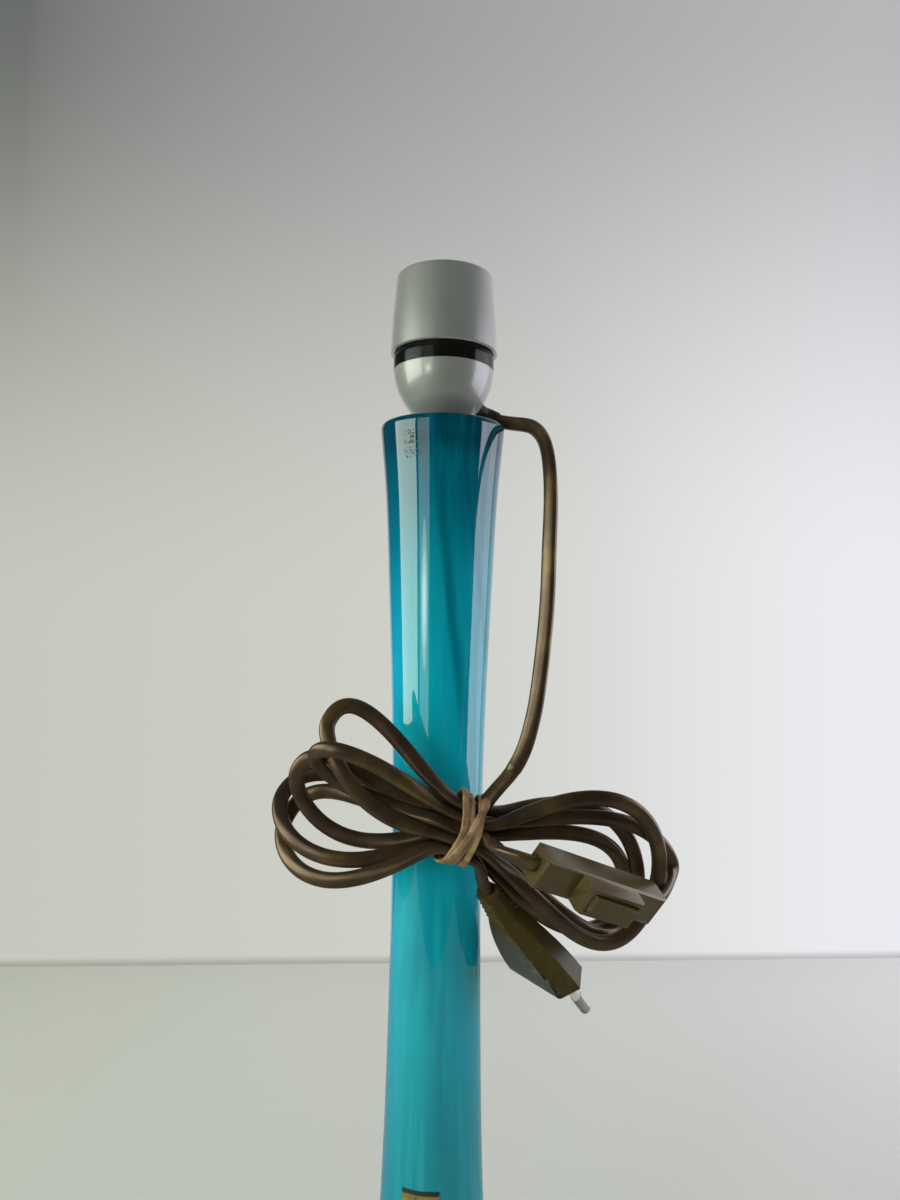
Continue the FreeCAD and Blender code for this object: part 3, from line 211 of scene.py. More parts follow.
class Socket:
    """A node's output, with the sums that are written on it."""

    def __init__(self, paint, output):
        self.paint = paint
        self.output = output

    def maths(self, operation, first, second):
        return self.paint.maths(operation, first, second)

    def __add__(self, other):
        return self.maths("ADD", self, other)

    __radd__ = __add__

    def __sub__(self, other):
        return self.maths("SUBTRACT", self, other)

    def __rsub__(self, other):
        return self.maths("SUBTRACT", other, self)

    def __mul__(self, other):
        return self.maths("MULTIPLY", self, other)

    __rmul__ = __mul__

    def __pow__(self, other):
        return self.maths("POWER", self, other)


class Nodes:
    """A node tree in the making."""

    def feed(self, node, socket, value):
        if isinstance(value, Socket):
            self.tree.links.new(value.output, node.inputs[socket])
        else:
            node.inputs[socket].default_value = value

    def node(self, kind, settings=None, values=None, output=0):
        made = self.tree.nodes.new(kind)
        for name, value in (settings or {}).items():
            if name == "stops":
                ramp = made.color_ramp
                while len(ramp.elements) < len(value):
                    ramp.elements.new(1.0)
                for element, (position, shade) in zip(ramp.elements, value):
                    element.position = position
                    element.color = shade
            else:
                setattr(made, name, value)
        for socket, value in (values or {}).items():
            self.feed(made, socket, value)
        return Socket(self, made.outputs[output])

    def maths(self, operation, first, second):
        return self.node("ShaderNodeMath", {"operation": operation}, {0: first, 1: second})


class Paint(Nodes):
    """A finish: a shader and the nodes that feed it, on a new material or on the world."""

    def __init__(self, name, world=None, **values):
        self.material = world or bpy.data.materials.new(name)
        self.material.use_nodes = True
        self.tree = self.material.node_tree
        self.shader = self.tree.nodes["Background" if world else "Principled BSDF"]
        for socket, value in values.items():
            self.feed(self.shader, socket.replace("_", " "), value)

    def shade(self, socket, value):
        self.feed(self.shader, socket, value)
        return self

    def place(self, scale=(1, 1, 1)):
        """Object coordinates, scaled."""
        spot = self.node("ShaderNodeTexCoord", output="Object")
        return self.node("ShaderNodeMapping", values={"Vector": spot, "Scale": scale})

    def along(self, axis):
        """Object coordinate along an axis."""
        return self.node("ShaderNodeSeparateXYZ", values={"Vector": self.place()}, output=axis)

    def ray(self, kind):
        """1 for a ray of a kind, such as Is Glossy Ray."""
        return self.node("ShaderNodeLightPath", output=kind)

    def noise(self, size, at=None, detail=3.0, roughness=0.55):
        """Noise whose marks are about size metres across."""
        values = {"Vector": at or self.place(), "Scale": 1 / size, "Detail": detail,
                  "Roughness": roughness}
        return self.node("ShaderNodeTexNoise", values=values)

    def ramp(self, value, *stops):
        """Ramp through stops of a position and an 8-bit colour."""
        stops = [(position, colour(*shade)) for position, *shade in stops]
        return self.node("ShaderNodeValToRGB", {"stops": stops}, {"Fac": value})

    def step(self, value, low, high):
        """0 below low, 1 above high."""
        return self.node("ShaderNodeMapRange", {"interpolation_type": "SMOOTHSTEP"},
                         {"Value": value, "From Min": low, "From Max": high})

    def stripe(self, value, start, full, fall, end):
        """1 between full and fall, 0 before start and past end."""
        return self.step(value, start, full) * (1 - self.step(value, fall, end))

    def mix(self, factor, first, second):
        return self.node("ShaderNodeMix", {"data_type": "RGBA"}, {0: factor, 6: first, 7: second}, 2)

    def bump(self, height, depth):
        bump = self.node("ShaderNodeBump", values={"Height": height, "Distance": depth})
        return self.shade("Normal", bump)


class Growth(Nodes):
    """A shape's node tree with named sizes, ending in real faces of one material."""

    def __init__(self, name, material, **sizes):
        self.name = name
        self.sizes = sizes
        self.material = material
        self.tree = bpy.data.node_groups.new(name, "GeometryNodeTree")
        self.tree.interface.new_socket("Source", in_out="INPUT", socket_type="NodeSocketGeometry")
        for label in sizes:
            self.tree.interface.new_socket(label, in_out="INPUT", socket_type="NodeSocketFloat")
        self.tree.interface.new_socket("Shape", in_out="OUTPUT", socket_type="NodeSocketGeometry")
        self.given = self.tree.nodes.new("NodeGroupInput")

    def size(self, label):
        return Socket(self, self.given.outputs[label])

    def mesh(self, source, shape):
        """The plain mesh that the tree makes from a source mesh."""
        real = self.node("GeometryNodeRealizeInstances", values={"Geometry": shape})
        real = self.node("GeometryNodeSetMaterial", values={"Geometry": real, "Material": self.material})
        self.tree.links.new(real.output, self.tree.nodes.new("NodeGroupOutput").inputs["Shape"])
        holder = add_object(self.name, source)
        modifier = holder.modifiers.new(self.name, "NODES")
        modifier.node_group = self.tree
        for item in self.tree.interface.items_tree:
            if item.name in self.sizes:
                modifier[item.identifier] = self.sizes[item.name]
        made = holder.evaluated_get(bpy.context.evaluated_depsgraph_get())
        mesh = bpy.data.meshes.new_from_object(made)
        bpy.data.objects.remove(holder)
        mesh.name = self.name
        return mesh


# Finishes

def teal_glass():
    """Teal glass, with painted light making it bluer at its left, painted dark under the rim where the
    stopper shows through, and slanting streaks.
    """
    paint = Paint("teal_glass", Roughness=0.25, IOR=1.5, Specular_IOR_Level=0.0, Coat_Weight=1.0,
                  Coat_Roughness=0.02)
    height = paint.along("Z")
    side = paint.along("X")
    # Colour down the height, painted dark just under the rim where the stopper shows through.
    pool = paint.ramp(height, (0.0, 6, 108, 120), (0.12, 8, 130, 142), (0.21, 12, 162, 180),
                      (0.285, 6, 150, 168), (0.322, 4, 134, 152), (0.350, 0, 94, 114),
                      (0.3665, 0, 84, 102), (0.3685, 0, 46, 60), (0.3740, 0, 64, 80),
                      (0.3790, 0, 52, 66))
    cloud = paint.noise(0.016, paint.place((1, 1, 0.25)), detail=4.0)
    slant = side + height * 0.12 + (cloud - 0.5) * 0.004
    dark = paint.stripe(slant, 0.0388, 0.0410, 0.0420, 0.0450)
    dark = dark + paint.stripe(slant, 0.0510, 0.0520, 0.0526, 0.0550) * 0.6
    dark = dark * paint.step(height, 0.235, 0.30) * 0.55
    pool = paint.mix(dark, pool, colour(0, 70, 92))
    fine = paint.noise(0.0034, paint.place((1, 1, 0.035)), detail=5.0, roughness=0.6)
    light = paint.step(fine, 0.44, 0.66) * (1 - paint.step(height, 0.22, 0.34) * 0.8) * 0.36
    pool = paint.mix(light, pool, colour(40, 162, 180))
    murk = paint.step(paint.noise(0.012, paint.place((1, 1, 0.12)), detail=3.0), 0.50, 0.70)
    pool = paint.mix(murk * (1 - paint.step(height, 0.19, 0.26)) * 0.45, pool, colour(4, 98, 120))
    # Painted light: the left side is bluer, as light from the left passes through more glass there.
    left = 1 - paint.step(side, -0.0175, -0.0100)
    blue = paint.ramp(height, (0.05, 8, 100, 118), (0.16, 10, 126, 160), (0.29, 22, 148, 196),
                      (0.335, 2, 92, 122), (0.370, 0, 56, 74))
    pool = paint.mix(left * 0.75, pool, blue)
    speck = paint.noise(0.0006, paint.place((1, 1, 0.5)), detail=2.0)
    pool = paint.mix(paint.step(speck, 0.60, 0.78) * 0.12, pool, colour(70, 196, 204))
    return paint.shade("Base Color", pool).material


def moulded(name, base, dust, rough, wear=0.35, grain=0.00035, lift=0.00001, **values):
    """Moulded plastic or rubber of an 8-bit colour, with dusty patches and a fine grain."""
    paint = Paint(name, **values)
    cloud = paint.noise(0.011, detail=6.0, roughness=0.62)
    mask = paint.step(cloud, 0.50, 0.72) * wear
    paint.shade("Base Color", paint.mix(mask, colour(*base), colour(*dust)))
    paint.shade("Roughness", mask * 0.35 + rough)
    return paint.bump(paint.noise(grain, detail=2.0), lift).material


def scuffed_plug():
    """Dull brown plastic, painted darker and greener on its broad face as shade, and scuffed pale there
    near the pins.
    """
    paint = Paint("plug_plastic", Specular_IOR_Level=0.14)
    depth = paint.along("X") * plug_inward.x + paint.along("Y") * plug_inward.y
    depth = depth + paint.along("Z") * plug_inward.z
    middle = plug_face.dot(plug_inward)
    broad = paint.step(depth, *(middle + part for part in broad_face_depths))
    cloud = paint.step(paint.noise(0.010, detail=6.0, roughness=0.62), 0.45, 0.65)
    side = paint.mix(cloud * 0.5, colour(62, 52, 18), colour(56, 46, 20))
    # Painted shade: the broad face is darker and greener than the other faces of the same plastic.
    body = paint.mix(broad, side, colour(30, 34, 18))
    near_pins = 1 - paint.step(paint.along("Z"), *scuff_heights)
    marks = paint.noise(0.0024, paint.place((1, 1, 0.5)), detail=7.0, roughness=0.72)
    scuff = paint.step(marks, 0.47, 0.62) * near_pins * (broad * 0.9 + 0.1)
    paint.shade("Base Color", paint.mix(scuff * 0.4, body, colour(136, 140, 118)))
    paint.shade("Roughness", scuff * 0.2 + 0.34)
    return paint.bump(paint.noise(0.0010, detail=4.0), 0.00003).material


def metal(name, base, tarnish, rough):
    """Bare metal of an 8-bit colour, with tarnished patches and fine scratches."""
    paint = Paint(name, Metallic=1.0)
    cloud = paint.step(paint.noise(0.004, detail=5.0), 0.45, 0.75)
    paint.shade("Base Color", paint.mix(cloud * 0.6, colour(*base), colour(*tarnish)))
    paint.shade("Roughness", cloud * 0.2 + rough)
    return paint.bump(paint.noise(0.0003, paint.place((1, 1, 6))), 0.000006).material


def cord_sheath():
    """Bronze-brown PVC with a golden sheen."""
    paint = Paint("cord_sheath", Metallic=0.6)
    cloud = paint.noise(0.016, detail=5.0)
    bronze = paint.ramp(cloud, (0.30, 59, 46, 35), (0.55, 80, 63, 44), (0.75, 104, 90, 48))
    paint.shade("Base Color", bronze)
    paint.shade("Roughness", paint.noise(0.006, detail=4.0) * 0.14 + 0.24)
    return paint.bump(paint.noise(0.0009, detail=2.0), 0.00002).material


def band_rubber():
    """Aged tan rubber with fine cross wrinkles."""
    paint = Paint("band_rubber")
    cloud = paint.noise(0.004, detail=5.0)
    tan = paint.ramp(cloud, (0.30, 86, 60, 34), (0.50, 126, 98, 62), (0.72, 164, 136, 96))
    paint.shade("Base Color", tan)
    paint.shade("Roughness", cloud * 0.2 + 0.42)
    return paint.bump(paint.noise(0.0006, paint.place((1, 1, 3.5)), detail=4.0), 0.00012).material


def label_foil():
    """Gold foil with a dark printed edge, left blank inside."""
    paint = Paint("label_foil")
    height = paint.along("Z")
    low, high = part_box("foil_label")
    edge = paint.step(height, high.z - 0.0016, high.z - 0.0012)
    edge = edge + (1 - paint.step(height, low.z + 0.0012, low.z + 0.0016))
    cloud = paint.noise(0.003, detail=5.0)
    gold = paint.ramp(cloud, (0.3, 120, 112, 62), (0.55, 156, 146, 84), (0.75, 186, 176, 118))
    paint.shade("Base Color", paint.mix(edge, gold, colour(44, 46, 40)))
    paint.shade("Metallic", 0.75 - edge * 0.5)
    paint.shade("Roughness", cloud * 0.25 + 0.28)
    return paint.bump(paint.noise(0.0022, detail=3.0), 0.00006).material


def felt():
    """Dark felt."""
    paint = Paint("pad_felt", Roughness=0.95)
    fibre = paint.noise(0.0006, detail=6.0, roughness=0.7)
    paint.shade("Base Color", paint.ramp(fibre, (0.35, 22, 24, 26), (0.7, 58, 60, 62)))
    return paint.bump(fibre, 0.0002).material


# Mesh helpers

def add_object(name, data):
    made = bpy.data.objects.new(name, data)
    bpy.context.scene.collection.objects.link(made)
    return made


def dress(mesh, material):
    mesh.materials.clear()
    mesh.materials.append(material)


def piece(name, mesh, body, material, replaces=()):
    """Links a finished mesh as a piece that rides on a body."""
    made = add_object(name, mesh)
    dress(mesh, material)
    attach(made, body)
    if replaces:
        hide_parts(*replaces)
    return made


def smooth(mesh, sharp_angle=35):
    for face in mesh.polygons:
        face.use_smooth = True
    mesh.set_sharp_from_angle(angle=math.radians(sharp_angle))
    return mesh


def mesh_from(name, points, faces):
    mesh = bpy.data.meshes.new(name)
    mesh.from_pydata([tuple(point) for point in points], [], faces)
    mesh.update()
    return mesh


def outward(mesh):
    """Merges doubles and points the faces outwards."""
    shape = bmesh.new()
    shape.from_mesh(mesh)
    bmesh.ops.remove_doubles(shape, verts=shape.verts, dist=0.0000005)
    bmesh.ops.recalc_face_normals(shape, faces=shape.faces)
    shape.to_mesh(mesh)
    shape.free()
    return mesh


def lathe(name, outline, steps=144):
    """Solid of revolution of a closed outline of (radius, height)."""
    points = []
    faces = []
    count = len(outline)
    for i in range(steps):
        angle = 2 * math.pi * i / steps
        for radius, height in outline:
            points.append((radius * math.cos(angle), radius * math.sin(angle), height))
    for i in range(steps):
        here = i * count
        there = (i + 1) % steps * count
        for j in range(count):
            after = (j + 1) % count
            if outline[j][0] == 0 and outline[after][0] == 0:
                continue
            faces.append((here + j, there + j, there + after, here + after))
    return outward(mesh_from(name, points, faces))


def spline_through(stations, per_span=10):
    """Points of a natural cubic spline through stations of (radius, height)."""
    lengths = [0.0]
    for (r0, z0), (r1, z1) in zip(stations, stations[1:]):
        lengths.append(lengths[-1] + math.hypot(r1 - r0, z1 - z0))
    bends = []
    for axis in (0, 1):
        values = [station[axis] for station in stations]
        size = len(values)
        low, main, high, right = [0.0] * size, [1.0] * size, [0.0] * size, [0.0] * size
        for i in range(1, size - 1):
            before, after = lengths[i] - lengths[i - 1], lengths[i + 1] - lengths[i]
            low[i], main[i], high[i] = before, 2 * (before + after), after
            right[i] = 6 * ((values[i + 1] - values[i]) / after - (values[i] - values[i - 1]) / before)
        for i in range(1, size):
            share = low[i] / main[i - 1]
            main[i] -= share * high[i - 1]
            right[i] -= share * right[i - 1]
        second = [0.0] * size
        for i in range(size - 1, -1, -1):
            later = second[i + 1] if i + 1 < size else 0.0
            second[i] = (right[i] - high[i] * later) / main[i]
        bends.append(second)
    points = []
    for i in range(len(stations) - 1):
        span = lengths[i + 1] - lengths[i]
        for step in range(per_span):
            t = step / per_span
            s = 1 - t
            points.append(tuple(
                s * stations[i][axis] + t * stations[i + 1][axis]
                + ((s ** 3 - s) * bends[axis][i] + (t ** 3 - t) * bends[axis][i + 1]) * span ** 2 / 6
                for axis in (0, 1)))
    points.append(stations[-1])
    return points


def moved_in(points, inset):
    return [(radius - inset, height) for radius, height in points]


def softened(node, width, body, material, end=None, corner=0.0):
    """A copy of a node's mesh with its faces joined and its edges rounded by width.

    Where end gives a point on a flat end and its outward way, its long edges are rounded by corner.
    """
    mesh = frame["nodes"][node].data.copy()
    mesh.name = node + "_softened"
    shape = bmesh.new()
    shape.from_mesh(mesh)
    bmesh.ops.remove_doubles(shape, verts=shape.verts, dist=0.000001)
    bmesh.ops.dissolve_limit(shape, angle_limit=math.radians(1.0), verts=shape.verts, edges=shape.edges)
    if end:
        point, way = end
        edges = [edge for edge in shape.edges if edge.is_manifold and edge.calc_length() > long_edge
                 and all(abs((vert.co - point).dot(way)) < end_reach for vert in edge.verts)]
        bmesh.ops.bevel(shape, geom=edges, offset=corner, offset_type="OFFSET", segments=4, profile=0.5,
                        affect="EDGES", clamp_overlap=False)
    shape.to_mesh(mesh)
    shape.free()
    made = piece(node + "_softened", mesh, body, material, (node,))
    bevel = made.modifiers.new("edges", "BEVEL")
    bevel.width = width
    bevel.segments = 3
    bevel.limit_method = "ANGLE"
    bevel.angle_limit = math.radians(edge_angle)
    smooth(mesh, edge_angle)


# Cord

def cord_line(name, points, steps=6):
    """Points along the smooth curve that a cord's route controls."""
    curve = bpy.data.curves.new(name, "CURVE")
    curve.dimensions = "3D"
    curve.resolution_u = steps
    spline = curve.splines.new("NURBS")
    spline.points.add(len(points) - 1)
    for knot, point in zip(spline.points, points):
        knot.co = (*point, 1)
    spline.order_u = 3
    spline.use_endpoint_u = True
    holder = add_object(name, curve)
    mesh = bpy.data.meshes.new_from_object(holder)
    line = [vertex.co.copy() for vertex in mesh.vertices]
    bpy.data.objects.remove(holder)
    return line


def section(width, thickness, count=20, roundness=2.5):
    """Outline of a flat cord: wide along x, thin along y."""
    outline = []
    for i in range(count):
        angle = 2 * math.pi * i / count
        x = math.copysign(abs(math.cos(angle)) ** (2 / roundness), math.cos(angle))
        y = math.copysign(abs(math.sin(angle)) ** (2 / roundness), math.sin(angle))
        outline.append((x * width / 2, y * thickness / 2))
    return outline


def swept(name, line, outline, facing):
    """Tube of an outline along a line; facing gives the way that its wide side looks at a point.

    outline is one list of (x, y), or one for each point of the line.
    """
    points = []
    faces = []
    outlines = outline if isinstance(outline[0], list) else [outline] * len(line)
    count = len(outlines[0])
    last = len(line) - 1
    for i, point in enumerate(line):
        way = (line[min(i + 1, last)] - line[max(i - 1, 0)]).normalized()
        sideways = facing(point, i).cross(way).normalized()
        normal = way.cross(sideways)
        points += [point + sideways * x + normal * y for x, y in outlines[i]]
    for i in range(last):
        here = i * count
        there = here + count
        for j in range(count):
            after = (j + 1) % count
            faces.append((here + j, here + after, there + after, there + j))
    faces.append(tuple(range(count))[::-1])
    faces.append(tuple(last * count + j for j in range(count)))
    return smooth(outward(mesh_from(name, points, faces)), 60)


def at_waist(along, up, out):
    return waist_point + across * along + upward * up + toward * out


def fade(distance, near, far):
    """1 up to near, 0 beyond far, smooth between."""
    share = min(1.0, max(0.0, (far - distance) / (far - near)))
    return share * share * (3 - 2 * share)


def slot_place(slot, along=0.0):
    """How far a strand of a slot is up and out, at a distance from the waist's end."""
    rows, columns = slots[slot]
    squeeze = 1 - (1 - waist_squeeze) * fade(along, 0.0, waist_spread)
    return rows * row_step * squeeze, columns * column_step


def loop_point(number, turn):
    """Point of a loop; turn goes from 0 at the slot it leaves to 1 at the slot it comes back to."""
    side, reach, lean, bend, upper, lower, depth, twist = loops[number]
    angle = 2 * math.pi * turn
    along = reach * math.sin(angle / 2)
    up_in, out_in = slot_place(number, along)
    up_back, out_back = slot_place(number + 1, along)
    wave = -side * math.sin(angle)
    breadth = upper if wave > 0 else lower
    up = up_in + (up_back - up_in) * turn + lean * along + bend * along ** 2 / reach + breadth * wave
    out = out_in + (out_back - out_in) * turn
    out = out + depth * math.sin(angle / 2) ** 2 + twist * math.sin(angle)
    return at_waist(side * (waist_half + along), up, out)


def loop_points(number, start=0.0):
    """Points of a loop from a turn on, then the middle of the slot it comes back through."""
    turns = [i / points_per_loop for i in range(points_per_loop + 1)]
    points = [loop_point(number, turn) for turn in turns if turn >= start]
    return points + [at_waist(0, *slot_place(number + 1))]


def switch_end(side, out):
    """Point on the switch's axis, a length out of its end on a side."""
    return switch_middle + switch_along * side * (switch_length / 2 + out)


def lamp_side_points():
    """Control points from the holder's gland to the switch."""
    points = [gland_point - gland_way * lead_inside, gland_point + gland_way * lead_first_run]
    points += [Vector(point) for point in lead_route]
    up, out = slot_place(0)
    points.append(at_waist(lead_enters_at, up, out))
    for number in range(lamp_side_loops):
        points += loop_points(number)
    up, out = slot_place(lamp_side_loops)
    points.append(at_waist(waist_half, up, out + switch_strand_out))
    points.append(switch_strand_bend)
    points.append(switch_end(-1, straight_run))
    points.append(switch_end(-1, -switch_wall))
    return points


def plug_side_points():
    """Control points from the switch to the plug."""
    points = [switch_end(1, -switch_wall), switch_end(1, straight_run)]
    points += loop_points(lamp_side_loops, switch_loop_start)
    for number in range(lamp_side_loops + 1, len(loops)):
        points += loop_points(number)
    up, out = slot_place(len(loops))
    points.append(at_waist(plug_strand_leaves_at, up, out))
    relief_top = plug_face - plug_way * (plug_length + plug_relief)
    points += [relief_top - plug_way * straight_run, relief_top + plug_way * plug_overlap]
    return points


def hank_facing(point, to_switch, to_plug=1.0):
    """Wide side forward in the loops, turned up at the waist, and square to the switch and plug."""
    along = abs((point - waist_point).dot(across))
    tilt = waist_turn * fade(along, *waist_turn_fade)
    way = toward * math.cos(tilt) + upward * math.sin(tilt)
    way = way.lerp(switch_outward, fade(to_switch, *switch_turn_fade))
    return way.lerp(-plug_inward, fade(to_plug, *plug_turn_fade)).normalized()


def run_lengths(line):
    """Length along a line up to each of its points."""
    lengths = [0.0]
    for point, after in zip(line, line[1:]):
        lengths.append(lengths[-1] + (after - point).length)
    return lengths


# Heights down the lead and the way that its wide side looks there
lead_facings = [(0.3890, (-0.2, -0.5, 0.9)), (0.3865, (-0.3, -0.9, 0.3)), (0.3800, (-0.75, -0.6, 0.1)),
                (0.3740, (-0.8, -0.55, 0.1)), (0.3480, (-0.65, -0.75, 0.0)),
                (0.3080, (-0.5, -0.85, 0.1)), (0.2750, (-0.3, -0.9, 0.2)), (0.2560, (0.0, -0.95, 0.3))]


def lamp_side_facing(point, index):
    if index <= lead_points and point.z >= lead_facings[-1][0]:
        for (high, upper), (low, lower) in zip(lead_facings, lead_facings[1:]):
            if point.z > low:
                share = min(1.0, max(0.0, (high - point.z) / (high - low)))
                return Vector(upper).lerp(lower, share).normalized()
    return hank_facing(point, lamp_run[-1] - lamp_run[index])


def plug_side_facing(point, index):
    return hank_facing(point, plug_run[index], plug_run[-1] - plug_run[index])


flat_section = section(cord_width, cord_thickness)
sheath = cord_sheath()
lamp_line = cord_line("lamp_side_line", lamp_side_points())
plug_line = cord_line("plug_side_line", plug_side_points())
lamp_run = run_lengths(lamp_line)
plug_run = run_lengths(plug_line)
lead_points = min(i for i, point in enumerate(lamp_line) if point.z < lead_route[-1][2])
lamp_cord = piece("cord_to_switch", swept("cord_to_switch", lamp_line, flat_section, lamp_side_facing),
                  "lamp", sheath, ("cord_lead", "cord_hank_lamp_side"))
plug_cord = piece("cord_to_plug", swept("cord_to_plug", plug_line, flat_section, plug_side_facing),
                  "lamp", sheath, ("cord_hank_plug_side",))


def make_relief():
    """Tapered sleeve that the cord leaves the holder in, following the cord."""
    line = [point for point in lamp_line if (point - gland_point).length < relief_length]
    outlines = []
    for point in line:
        share = max(0.0, (point - gland_point).dot(gland_way)) / relief_length
        width = relief_width + (cord_width + relief_end_play - relief_width) * share
        depth = relief_depth + (cord_thickness + relief_end_play - relief_depth) * share
        outlines.append(section(width, depth, roundness=2.8))
    return swept("cord_relief", line, outlines, lamp_side_facing)


# Rubber band

def squared(part):
    """A part of a circle's radius, drawn toward that of a square."""
    return math.copysign(abs(part) ** band_squareness, part)


def band_line():
    """Points of the band's laps round the waist, closed: down the front, then straight up behind."""
    points = []
    steps = 16
    half = steps // 2
    laps = len(band_laps)
    for lap, (front, lift) in enumerate(band_laps):
        after, next_lift = band_laps[(lap + 1) % laps]
        for step in range(steps):
            angle = 2 * math.pi * step / steps
            if step < half:
                quarter, part = divmod(step * 4, half)
                low, high, share = front[quarter], front[quarter + 1], part / half
            else:
                low, high, share = front[-1], after[0], step / half - 1
            rise = lift + (next_lift - lift) * max(0.0, step / half - 1)
            up = (band_half_height + rise) * squared(math.cos(angle))
            out = (band_half_depth + rise) * squared(math.sin(angle))
            points.append(at_waist(low + (high - low) * share, up, out))
    return points


def band_facing(point, index):
    """Outward from the waist, more so in front and behind, and twisted to and fro."""
    offset = point - waist_point
    twist = across * band_twist * math.sin(index * band_twist_rate)
    way = upward * offset.dot(upward) * band_upward_share + toward * offset.dot(toward)
    return way.normalized() + twist


def closed_curve(points, per_span=3):
    """Smooth closed line through points."""
    line = []
    count = len(points)
    for i in range(count):
        a, b, c, d = (points[(i + k) % count] for k in (-1, 0, 1, 2))
        for step in range(per_span):
            t = step / per_span
            line.append(0.5 * ((2 * b) + (c - a) * t + (2 * a - 5 * b + 4 * c - d) * t ** 2
                               + (3 * b - a - 3 * c + d) * t ** 3))
    return line


def make_band(material):
    """Flat strip with rounded edges along the laps."""
    line = closed_curve(band_line())
    edges = [(i, (i + 1) % len(line)) for i in range(len(line))]
    path = bpy.data.meshes.new("band_path")
    path.from_pydata([tuple(point) for point in line], edges, [])
    facing = path.attributes.new("facing", "FLOAT_VECTOR", "POINT")
    for i, point in enumerate(line):
        facing.data[i].vector = band_facing(point, i)
    grow = Growth("rubber_band_laps", material, Width=band_width, Thickness=band_thickness,
                  Edge=band_edge)
    curve = grow.node("GeometryNodeMeshToCurve", values={"Mesh": grow.size("Source")})
    named = grow.node("GeometryNodeInputNamedAttribute", {"data_type": "FLOAT_VECTOR"},
                      {"Name": "facing"})
    curve = grow.node("GeometryNodeSetCurveNormal", {"mode": "FREE"}, {"Curve": curve, "Normal": named})
    strip = grow.node("GeometryNodeCurvePrimitiveQuadrilateral",
                      values={"Width": grow.size("Thickness"), "Height": grow.size("Width")})
    strip = grow.node("GeometryNodeFilletCurve", {"mode": "POLY"},
                      {"Curve": strip, "Radius": grow.size("Edge"), "Count": 2})
    band = grow.node("GeometryNodeCurveToMesh", values={"Curve": curve, "Profile Curve": strip})
    return smooth(outward(grow.mesh(path, band)), 60)


tan_rubber = band_rubber()
piece("rubber_band_laps", make_band(tan_rubber), "lamp", tan_rubber, ("rubber_band",))


# Glass

outer_side = spline_through(glass_side)
inner_floor = glass_bottom + glass_floor
foot_outline = [(foot_radius - 0.0010, 0.0098), (foot_radius, 0.0075), (foot_radius, 0.0033),
                (foot_radius - 0.0005, 0.0020), (foot_radius - 0.0018, glass_bottom), (0.0, glass_bottom)]


def bottle_outline():
    """Outside from the rim to the foot, then up the inside."""
    radius, top = glass_side[0]
    mouth = radius - glass_wall
    outside = [point for point in outer_side if point[1] < top - rim_rounding]
    inside = [point for point in moved_in(outer_side, glass_wall)
              if top - lip_rounding > point[1] > inner_floor]
    rim = [(radius - inset, top - drop) for inset, drop in rim_edge]
    lip = [(mouth + inset, top - drop) for inset, drop in lip_edge]
    inner_foot = [(0.0, inner_floor), (inside[-1][0], inner_floor)]
    return rim + outside + foot_outline + inner_foot + inside[::-1] + lip


def glass_patch(left, right, low, high, count=8):
    """Piece of the glass's outside between two sideways places at its front and two heights."""
    points = []
    faces = []
    for row in range(count):
        height = low + (high - low) * row / (count - 1)
        radius = min(outer_side, key=lambda point: abs(point[1] - height))[0]
        for step in range(count):
            x = left + (right - left) * step / (count - 1)
            points.append((x, -math.sqrt(radius ** 2 - x ** 2), height))
    for row in range(count - 1):
        for step in range(count - 1):
            here = row * count + step
            faces.append((here, here + 1, here + count + 1, here + count))
    return mesh_from("glass_patch", points, faces)


def make_flecks(name, patch, material, density, size, seed):
    """Small dried splashes on a piece of the glass."""
    grow = Growth(name, material, Density=density, Size=size)
    values = {"Mesh": grow.size("Source"), "Density": grow.size("Density"), "Seed": seed}
    spots = grow.node("GeometryNodeDistributePointsOnFaces", values=values)
    turn = Socket(grow, spots.output.node.outputs["Rotation"])
    values = {"Radius": grow.size("Size"), "Subdivisions": 2}
    drop = grow.node("GeometryNodeMeshIcoSphere", values=values)
    shrink = grow.node("FunctionNodeRandomValue", {"data_type": "FLOAT_VECTOR"},
                       {0: (0.25, 0.3, 0.12), 1: (1.0, 1.3, 0.16), "Seed": seed + 1})
    drops = grow.node("GeometryNodeInstanceOnPoints",
                      values={"Points": spots, "Instance": drop, "Rotation": turn, "Scale": shrink})
    return smooth(grow.mesh(patch, drops))


splash = moulded("dried_splash", (16, 34, 34), (44, 60, 58), 0.4, 0.6)
# name, sideways and height ranges, flecks per square metre, size, seed
fleck_patches = [("splash_flecks", (-0.0136, -0.0076, 0.3645, 0.3742), 1.6e6, 0.00030, 3),
                 ("splash_core", (-0.0118, -0.0100, 0.3694, 0.3735), 5.0e6, 0.00034, 11),
                 ("seam_flecks", (-0.0084, -0.0077, 0.3440, 0.3790), 5.0e6, 0.00016, 7)]
for name, corners, density, size, seed in fleck_patches:
    flecks = make_flecks(name, glass_patch(*corners), splash, density, size, seed)
    piece(name, flecks, "lamp", splash)

glass = teal_glass()
piece("bottle_glass", smooth(lathe("bottle_glass", bottle_outline()), 40), "lamp", glass,
      ("glass_body",))


# Holder

def dome_arc(radius, bottom, top, count=24):
    """Side of the dome about its own centre, from bottom to top."""
    low = Vector((dome_flat_radius, dome_bottom))
    high = Vector((dome_radius, dome_bottom + dome_height))
    chord = high - low
    inward = Vector((-chord.y, chord.x)).normalized()
    centre = (low + high) / 2 + inward * math.sqrt(dome_curve_radius ** 2 - chord.length_squared / 4)
    points = []
    for i in range(count + 1):
        height = bottom + (top - bottom) * i / count
        points.append((centre.x + math.sqrt(radius ** 2 - (height - centre.y) ** 2), height))
    return points


